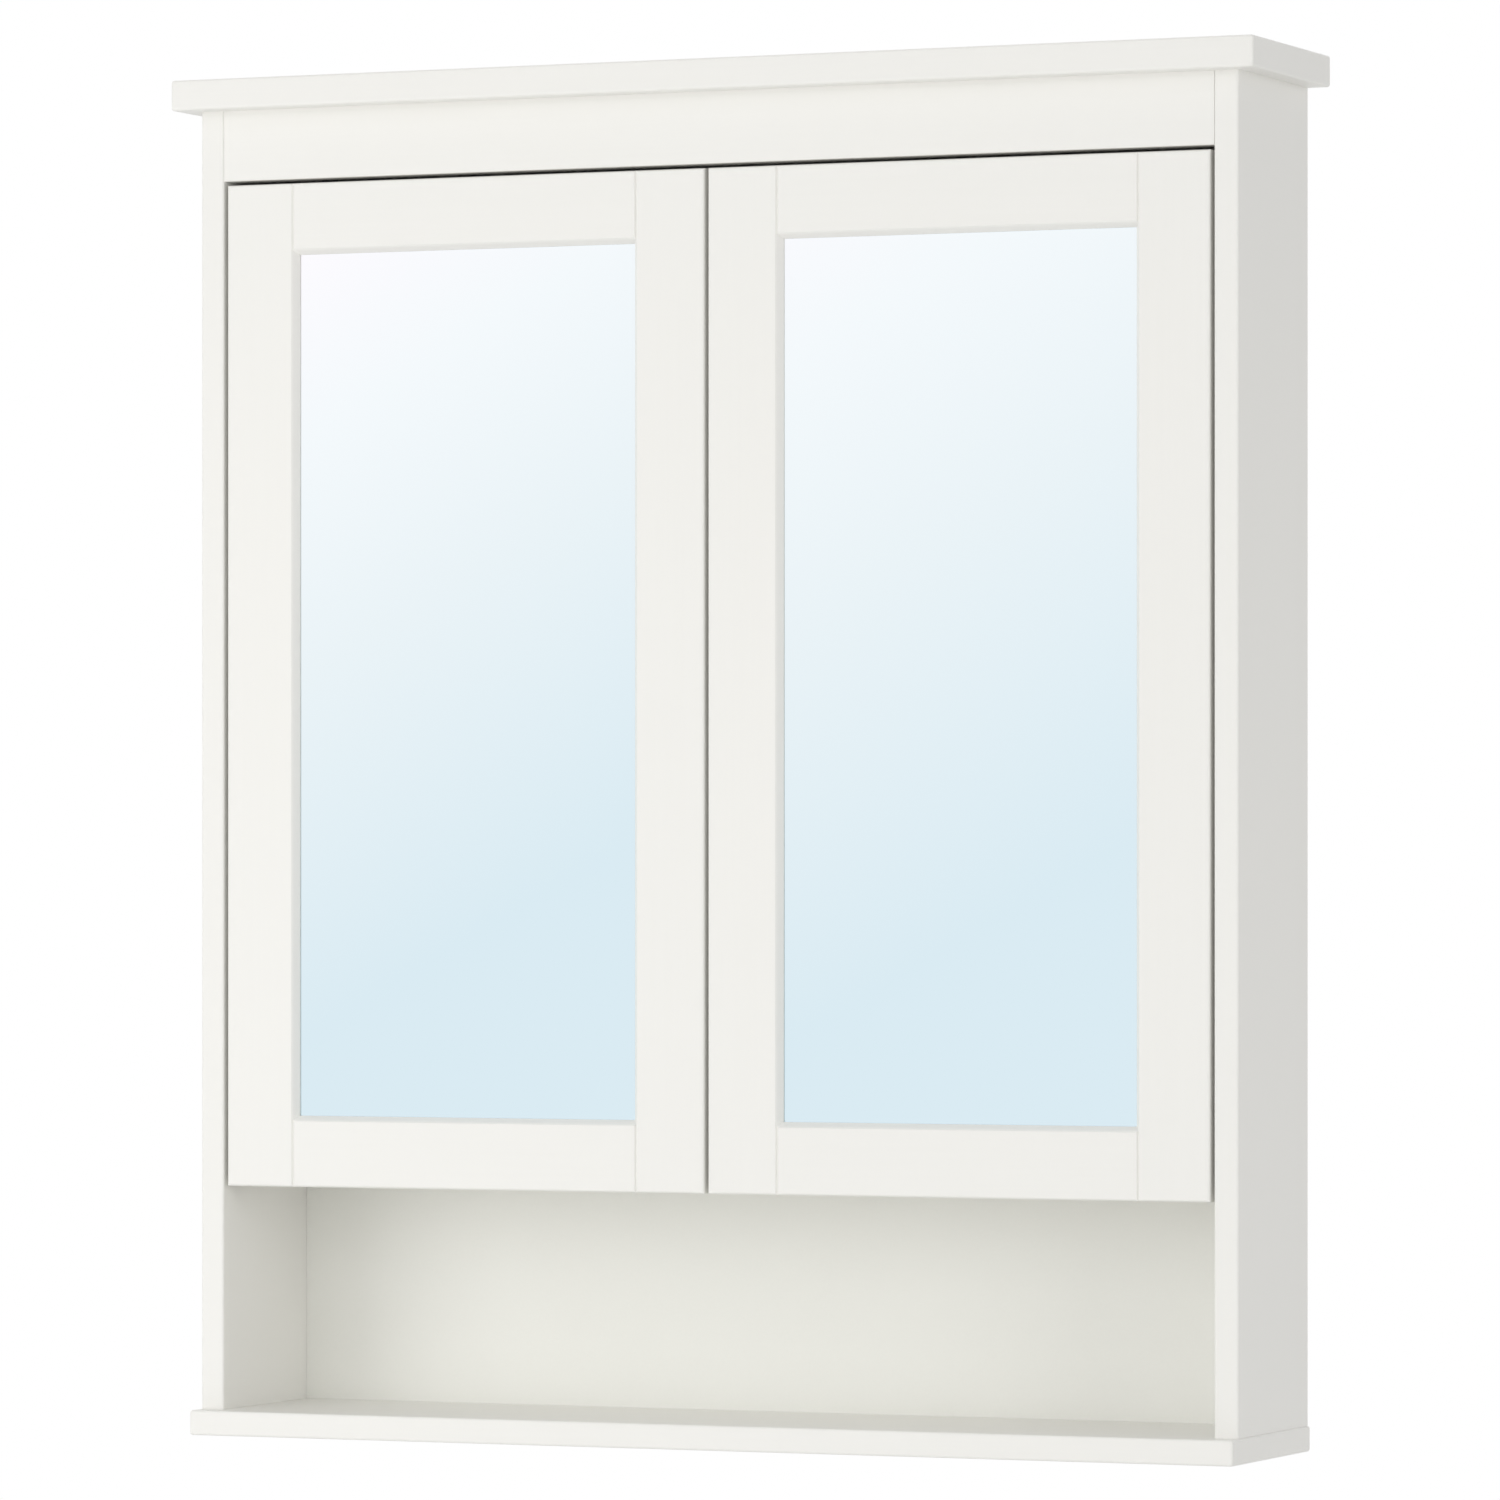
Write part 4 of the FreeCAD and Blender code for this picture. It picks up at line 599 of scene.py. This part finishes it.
def finish_piece(piece, body, slot, material, *nodes):
    """Dress a piece, set it on its body and let it stand for CAD nodes."""
    dress(piece, material)
    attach(piece, body)
    if nodes:
        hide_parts(*nodes)


def copies_at(model, name, seats, rise):
    """One piece made of a model's copies, one for each seat, in place of the model.

    A copy's +Z points the seat's way, and its z = 0 lies the rise short of the seat's end.
    """
    made = []
    for seat in seats:
        mesh = model.data.copy()
        turn = Vector((0, 0, 1)).rotation_difference(seat.direction).to_matrix().to_4x4()
        mesh.transform(Matrix.Translation(seat.end - seat.direction * rise) @ turn)
        copy = bpy.data.objects.new(name, mesh)
        bpy.context.scene.collection.objects.link(copy)
        made.append(copy)
    start_alone(made[0])
    for copy in made:
        copy.select_set(True)
    if len(made) > 1:
        bpy.ops.object.join()
    piece = bpy.context.view_layer.objects.active
    piece.name = name
    bpy.data.objects.remove(model)
    return piece


# ---------------------------------------------------------------- screws, pins and bumpers

def add_turned_blank(name, radius, height):
    """An upright cylinder that stands on z = 0, with its caps as single faces."""
    bpy.ops.object.select_all(action="DESELECT")
    bpy.ops.mesh.primitive_cylinder_add(vertices=TURNED_SIDES, radius=radius, depth=height,
                                        location=(0, 0, height / 2))
    blank = bpy.context.object
    blank.name = name
    apply_place()
    return blank


def step_down(thing, inset, drop):
    """Inset the lower cap, at z = 0, and draw it down."""
    select_faces(thing, faces_at(0, upward=False))
    bpy.ops.mesh.inset(thickness=inset, depth=0)
    draw_out(-drop)


def dome(thing, steps):
    """Draw the upper cap up in steps, each (rise, how much of the width it keeps)."""
    for rise, scale in steps:
        height = max(v.co.z for v in bmesh.from_edit_mesh(thing.data).verts)
        select_faces(thing, faces_at(height))
        draw_out(rise, scale)


def cut_cross(screw, reach, top, depth):
    """Sink a tapered cross into a screw's head."""
    bpy.ops.object.select_all(action="DESELECT")
    bpy.ops.mesh.primitive_cube_add(size=1, location=(0, 0, 0))
    cutter = bpy.context.object
    half = reach * CROSS_HALF
    cutter.scale = (half * 2, half * 2, depth * 2)
    cutter.location = (0, 0, top)
    apply_place()
    bpy.ops.object.mode_set(mode="EDIT")
    select_faces(cutter, lambda face: abs(face.normal.z) < UPRIGHT)
    bpy.ops.mesh.extrude_faces_move(TRANSFORM_OT_shrink_fatten={"value": reach - half})
    select_faces(cutter, faces_at(top - depth, upward=False))
    bpy.ops.transform.resize(value=(CROSS_TAPER, CROSS_TAPER, 1), center_override=(0, 0, top))
    bpy.ops.object.mode_set(mode="OBJECT")
    boolean = screw.modifiers.new("cross", "BOOLEAN")
    boolean.operation = "DIFFERENCE"
    boolean.solver = "EXACT"
    boolean.object = cutter
    apply_modifiers(screw)
    bpy.data.objects.remove(cutter)


def model_screw(name, head_radius, head_height, shank_radius, length, sunk):
    """A cross-head wood screw along +Z, seated at z = 0, or flush with it when sunk."""
    rim = head_height * HEAD_RIM
    screw = add_turned_blank(name, head_radius, rim)
    bpy.ops.object.mode_set(mode="EDIT")
    select_faces(screw, faces_at(0, upward=False))
    if sunk:
        neck = -head_height * HEAD_CONE
        top = rim
        draw_out(neck, shank_radius / head_radius)
    else:
        neck = 0
        top = head_height * (HEAD_RIM + sum(rise for rise, _ in HEAD_DOME))
        bpy.ops.mesh.inset(thickness=head_radius - shank_radius, depth=0)
        dome(screw, [(head_height * rise, scale) for rise, scale in HEAD_DOME])
    select_faces(screw, faces_at(neck, upward=False))
    draw_out(-length * (1 - TIP_LENGTH))
    draw_out(-length * TIP_LENGTH, TIP_WIDTH)
    bpy.ops.object.mode_set(mode="OBJECT")
    if sunk:
        screw.data.transform(Matrix.Translation((0, 0, -top)))
        top = 0
    cut_cross(screw, head_radius * CROSS_REACH, top, head_height * CROSS_DEPTH)
    round_edges(screw, head_height * HEAD_ROUNDING, least_angle=50)
    shade_smooth(40)
    return screw


def seats_of(node, axis, way):
    """The seat of each solid of a node.

    The way is +1 or -1 along the axis, or 0 for towards the cabinet's middle.
    """
    number = AXES[axis]
    across = (number + 1) % 3
    seats = []
    for low, high in solids_of(node):
        middle = (low + high) / 2
        sign = way or (-1 if middle.x > 0 else 1)
        end = middle.copy()
        end[number] = high[number] if sign > 0 else low[number]
        direction = Vector((0, 0, 0))
        direction[number] = sign
        seats.append(Seat(end, direction, (high[across] - low[across]) / 2,
                          high[number] - low[number]))
    return seats


def stand_in_screws(node, name, axis, way, head_height, shank_radius, sunk=False):
    """Modelled screws in place of a node of plain ones."""
    seats = seats_of(node, axis, way)
    length = seats[0].length - head_height
    model = model_screw(name + "_model", seats[0].radius, head_height, shank_radius, length,
                        sunk)
    return copies_at(model, name, seats, rise=0 if sunk else head_height)


# ---------------------------------------------------------------- operators

class CABINET_OT_stage(bpy.types.Operator):
    """Lay the floor, light the room and set up the camera"""

    bl_idname = "cabinet.stage"
    bl_label = "Stage and camera"

    def add_floor(self, stage):
        """A round pale floor below the cabinet."""
        height = frame_low.z - stage.floor_drop
        bpy.ops.object.select_all(action="DESELECT")
        bpy.ops.mesh.primitive_circle_add(vertices=FLOOR_CORNERS, radius=FLOOR_RADIUS,
                                          fill_type="NGON",
                                          location=(0, frame_middle.y, height))
        floor = bpy.context.object
        floor.name = "floor"
        apply_place()
        bpy.ops.object.mode_set(mode="EDIT")
        bpy.ops.mesh.select_all(action="SELECT")
        bpy.ops.mesh.inset(thickness=FLOOR_RING, depth=0)
        bpy.ops.object.mode_set(mode="OBJECT")
        dress(floor, pale_floor(stage.floor))

    def light_room(self, stage):
        """An even white room, brighter when seen or mirrored than in the light it gives."""
        world = bpy.data.worlds.new("white_room")
        bpy.context.scene.world = world
        world.use_nodes = True
        tree = world.node_tree
        tree.nodes.clear()
        path = tree.nodes.new("ShaderNodeLightPath")
        either = tree.nodes.new("ShaderNodeMath")
        either.operation = "MAXIMUM"
        tree.links.new(path.outputs["Is Camera Ray"], either.inputs[0])
        tree.links.new(path.outputs["Is Glossy Ray"], either.inputs[1])
        strength = tree.nodes.new("ShaderNodeMapRange")
        strength.inputs["To Min"].default_value = stage.room_light
        strength.inputs["To Max"].default_value = 1.0
        tree.links.new(either.outputs["Value"], strength.inputs["Value"])
        background = tree.nodes.new("ShaderNodeBackground")
        background.inputs["Color"].default_value = (1, 1, 1, 1)
        tree.links.new(strength.outputs["Result"], background.inputs["Strength"])
        output = tree.nodes.new("ShaderNodeOutputWorld")
        tree.links.new(background.outputs["Background"], output.inputs["Surface"])

    def add_light(self, name, place, power, size):
        """A square light that points at the cabinet's middle and isn't seen or mirrored."""
        data = bpy.data.lights.new(name, "AREA")
        data.energy = power
        data.size = size
        light = bpy.data.objects.new(name, data)
        bpy.context.scene.collection.objects.link(light)
        light.location = frame_middle + Vector(place)
        light.rotation_euler = (-Vector(place)).to_track_quat("-Z", "Y").to_euler()
        light.visible_camera = False
        light.visible_glossy = False

    def add_camera(self, stage):
        """A level camera with a shifted lens, so uprights stay upright."""
        data = bpy.data.cameras.new("camera")
        data.lens = stage.camera_lens
        data.sensor_width = CAMERA_SENSOR
        data.shift_y = stage.camera_shift
        data.clip_end = CAMERA_REACH
        camera = bpy.data.objects.new("camera", data)
        bpy.context.scene.collection.objects.link(camera)
        bearing = stage.camera_bearing
        away = Vector((math.sin(bearing), -math.cos(bearing), 0)) * stage.camera_distance
        camera.location = frame_middle + away - Vector((0, 0, stage.camera_drop))
        camera.rotation_euler = (math.pi / 2, 0, stage.camera_heading)
        bpy.context.scene.camera = camera

    def execute(self, context):
        stage = context.scene.cabinet_stage
        self.add_floor(stage)
        self.light_room(stage)
        for name, (place, size) in LIGHTS.items():
            self.add_light(f"{name}_light", place, getattr(stage, f"{name}_power"), size)
        self.add_camera(stage)
        context.scene.view_settings.view_transform = "Standard"
        return {"FINISHED"}


class CABINET_OT_boards(bpy.types.Operator):
    """Paint the sides, the level boards and the rails"""

    bl_idname = "cabinet.boards"
    bl_label = "Painted boards"

    def execute(self, context):
        paint = context.scene.cabinet_paint
        upright = white_paint("white_paint_upright", "z", paint)
        level = white_paint("white_paint_level", "x", paint)
        dress_nodes(["left_side_panel", "right_side_panel"], upright)
        dress_nodes(["top_panel", "base_panel", "cupboard_floor", "top_front_rail",
                     "rear_hanging_rail"], level)
        for side in SIDES:
            dress_nodes([f"{side}_door_hinge_stile", f"{side}_door_free_stile"], upright)
            dress_nodes([f"{side}_door_top_rail", f"{side}_door_bottom_rail"], level)
        return {"FINISHED"}


class CABINET_OT_thin_boards(bpy.types.Operator):
    """Paint the back panel and the boards behind the mirrors"""

    bl_idname = "cabinet.thin_boards"
    bl_label = "Back and backing boards"

    def execute(self, context):
        board = painted_board(context.scene.cabinet_paint)
        dress_nodes(["back_panel", "left_door_backing_board", "right_door_backing_board"], board)
        return {"FINISHED"}


class CABINET_OT_mirrors(bpy.types.Operator):
    """Silver the two mirrors and grind their edges"""

    bl_idname = "cabinet.mirrors"
    bl_label = "Mirrors"

    def execute(self, context):
        mirror = context.scene.cabinet_mirror
        for side in SIDES:
            node = f"{side}_door_mirror"
            low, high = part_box(node)
            piece = softened_copy(node, f"{side}_mirror_pane", mirror.arris)
            # Each mirror's colour carries a painted reflection, from white at the upper left to
            # pale blue at the lower right.
            material = mirror_glass(f"{side}_mirror_glass", low, high, PAINTED_REFLECTION_LEADS[side],
                                    mirror)
            finish_piece(piece, BODY_OF_SIDE[side], "mirror_glass", material, node)
        return {"FINISHED"}


class CABINET_OT_glass_shelves(bpy.types.Operator):
    """Give the two shelves clear glass"""

    bl_idname = "cabinet.glass_shelves"
    bl_label = "Glass shelves"

    def execute(self, context):
        glass = clear_glass(context.scene.cabinet_mirror)
        dress_nodes(["upper_glass_shelf", "lower_glass_shelf"], glass)
        return {"FINISHED"}


class CABINET_OT_hinges(bpy.types.Operator):
    """Round and plate the pressed parts of the hinges"""

    bl_idname = "cabinet.hinges"
    bl_label = "Hinges"

    def execute(self, context):
        hardware = context.scene.cabinet_hardware
        plating = pressed_steel("nickel_plating", hardware.steel)
        for side in SIDES:
            door = BODY_OF_SIDE[side]
            for part, body in (("hinge_arms", CABINET), ("hinge_plates", CABINET),
                               ("hinge_cups", door), ("door_backing_clips", door)):
                node = f"{side}_{part}"
                piece = softened_copy(node, f"{side}_pressed_{part}", hardware.edge)
                finish_piece(piece, body, "nickelled_steel", plating, node)
            dress_nodes([f"{side}_hinge_pins", f"{side}_hinge_springs"], plating)
        return {"FINISHED"}


class CABINET_OT_screws(bpy.types.Operator):
    """Model the cross-head screws and set them in their holes"""

    bl_idname = "cabinet.screws"
    bl_label = "Screws"

    def execute(self, context):
        hardware = context.scene.cabinet_hardware
        plating = pressed_steel("screw_plating", hardware.zinc, roughness=0.3)
        sets = [("hinge_plate_screws", "plate_screws", CABINET, "x", 0, PLATE_SCREW),
                ("hinge_arm_screws", "arm_screws", CABINET, "x", 0, ARM_SCREW)]
        for side in SIDES:
            door = BODY_OF_SIDE[side]
            sets.append((f"{side}_hinge_cup_screws", f"{side}_cup_screws", door, "y", 1,
                         CUP_SCREW))
            sets.append((f"{side}_door_clip_screws", f"{side}_clip_screws", door, "y", 1,
                         CLIP_SCREW))
        for node, name, body, axis, way, measures in sets:
            piece = stand_in_screws(node, name, axis, way, *measures)
            finish_piece(piece, body, "nickelled_steel", plating, node)
        piece = stand_in_screws("base_screws", "sunk_base_screws", "z", -1, *BASE_SCREW,
                                sunk=True)
        finish_piece(piece, CABINET, "nickelled_steel", plating, "base_screws")
        return {"FINISHED"}


class CABINET_OT_pins(bpy.types.Operator):
    """Turn the shelf pins, with a collar and a rounded nose"""

    bl_idname = "cabinet.pins"
    bl_label = "Shelf pins"

    def execute(self, context):
        hardware = context.scene.cabinet_hardware
        seats = seats_of("shelf_pins", "x", 0)
        collar_radius = seats[0].radius
        step = collar_radius - PIN_RADIUS
        pin = add_turned_blank("pin_model", collar_radius, PIN_COLLAR)
        bpy.ops.object.mode_set(mode="EDIT")
        step_down(pin, step, seats[0].length - PIN_REACH)
        select_faces(pin, faces_at(PIN_COLLAR))
        bpy.ops.mesh.inset(thickness=step, depth=0)
        draw_out(PIN_REACH - PIN_COLLAR)
        bpy.ops.mesh.bevel(offset=PIN_NOSE_ROUNDING, segments=3, affect="EDGES")
        select_edges(pin, lambda edge: all(
            abs(v.co.xy.length - collar_radius) < CLOSE for v in edge.verts)
            and abs(edge.verts[0].co.z - edge.verts[1].co.z) < CLOSE)
        bpy.ops.mesh.bevel(offset=PIN_COLLAR_ROUNDING, segments=2, affect="EDGES")
        bpy.ops.object.mode_set(mode="OBJECT")
        shade_smooth(35)
        piece = copies_at(pin, "turned_shelf_pins", seats, rise=PIN_REACH)
        plating = pressed_steel("pin_plating", hardware.steel, roughness=0.2)
        finish_piece(piece, CABINET, "nickelled_steel", plating, "shelf_pins")
        return {"FINISHED"}


class CABINET_OT_bumpers(bpy.types.Operator):
    """Mould the soft bumpers with domed heads"""

    bl_idname = "cabinet.bumpers"
    bl_label = "Door bumpers"

    def execute(self, context):
        hardware = context.scene.cabinet_hardware
        seats = seats_of("door_bumpers", "y", -1)
        radius = seats[0].radius
        head = seats[0].length - BUMPER_STEM
        rise = sum(step for step, _ in BUMPER_DOME)
        bumper = add_turned_blank("bumper_model", radius, head - rise)
        bpy.ops.object.mode_set(mode="EDIT")
        step_down(bumper, radius - BUMPER_STEM_RADIUS, BUMPER_STEM)
        dome(bumper, BUMPER_DOME)
        bpy.ops.object.mode_set(mode="OBJECT")
        shade_smooth(50)
        piece = copies_at(bumper, "domed_bumpers", seats, rise=head)
        finish_piece(piece, CABINET, "clear_bumper", soft_plastic(hardware.bumper),
                     "door_bumpers")
        return {"FINISHED"}


class CABINET_OT_fixings(bpy.types.Operator):
    """Give the cams, bolts and dowels their metal and wood"""

    bl_idname = "cabinet.fixings"
    bl_label = "Cams, bolts and dowels"

    def execute(self, context):
        hardware = context.scene.cabinet_hardware
        zinc = cast_zinc(hardware.zinc)
        piece = softened_copy("cam_locks", "cast_cam_locks", CAM_ROUNDING)
        finish_piece(piece, CABINET, "zinc", zinc, "cam_locks")
        plating = pressed_steel("bolt_plating", hardware.zinc, roughness=0.32)
        dress_nodes(["cam_bolts"], plating)
        beech = raw_beech(hardware.beech)
        dress_nodes(["carcass_dowels", "left_door_dowels", "right_door_dowels"], beech)
        return {"FINISHED"}


class CABINET_PT_looks(bpy.types.Panel):
    """Lists what may be changed and the steps that make the pieces"""

    bl_idname = "CABINET_PT_looks"
    bl_label = "Mirror cabinet"
    bl_space_type = "VIEW_3D"
    bl_region_type = "UI"
    bl_category = "Cabinet"

    def draw(self, context):
        for name in SETTINGS:
            box = self.layout.box()
            settings = getattr(context.scene, name)
            for prop in settings.bl_rna.properties:
                if prop.identifier not in ("rna_type", "name"):
                    box.prop(settings, prop.identifier)
        for operator in OPERATORS:
            self.layout.operator(operator.bl_idname)


SETTINGS = {
    "cabinet_paint": CabinetPaint,
    "cabinet_mirror": CabinetMirror,
    "cabinet_hardware": CabinetHardware,
    "cabinet_stage": CabinetStage,
}
OPERATORS = [CABINET_OT_stage, CABINET_OT_boards, CABINET_OT_thin_boards, CABINET_OT_mirrors,
             CABINET_OT_glass_shelves, CABINET_OT_hinges, CABINET_OT_screws, CABINET_OT_pins,
             CABINET_OT_bumpers, CABINET_OT_fixings]


def register():
    for group in SETTINGS.values():
        bpy.utils.register_class(group)
    for name, group in SETTINGS.items():
        setattr(bpy.types.Scene, name, PointerProperty(type=group))
    for operator in OPERATORS:
        bpy.utils.register_class(operator)
    bpy.utils.register_class(CABINET_PT_looks)


def unregister():
    bpy.utils.unregister_class(CABINET_PT_looks)
    for operator in reversed(OPERATORS):
        bpy.utils.unregister_class(operator)
    for name in SETTINGS:
        delattr(bpy.types.Scene, name)
    for group in SETTINGS.values():
        bpy.utils.unregister_class(group)


def main():
    """Make every piece in order."""
    register()
    bpy.ops.cabinet.stage()
    bpy.ops.cabinet.boards()
    bpy.ops.cabinet.thin_boards()
    bpy.ops.cabinet.mirrors()
    bpy.ops.cabinet.glass_shelves()
    bpy.ops.cabinet.hinges()
    bpy.ops.cabinet.screws()
    bpy.ops.cabinet.pins()
    bpy.ops.cabinet.bumpers()
    bpy.ops.cabinet.fixings()


if __name__ == "__main__":
    main()
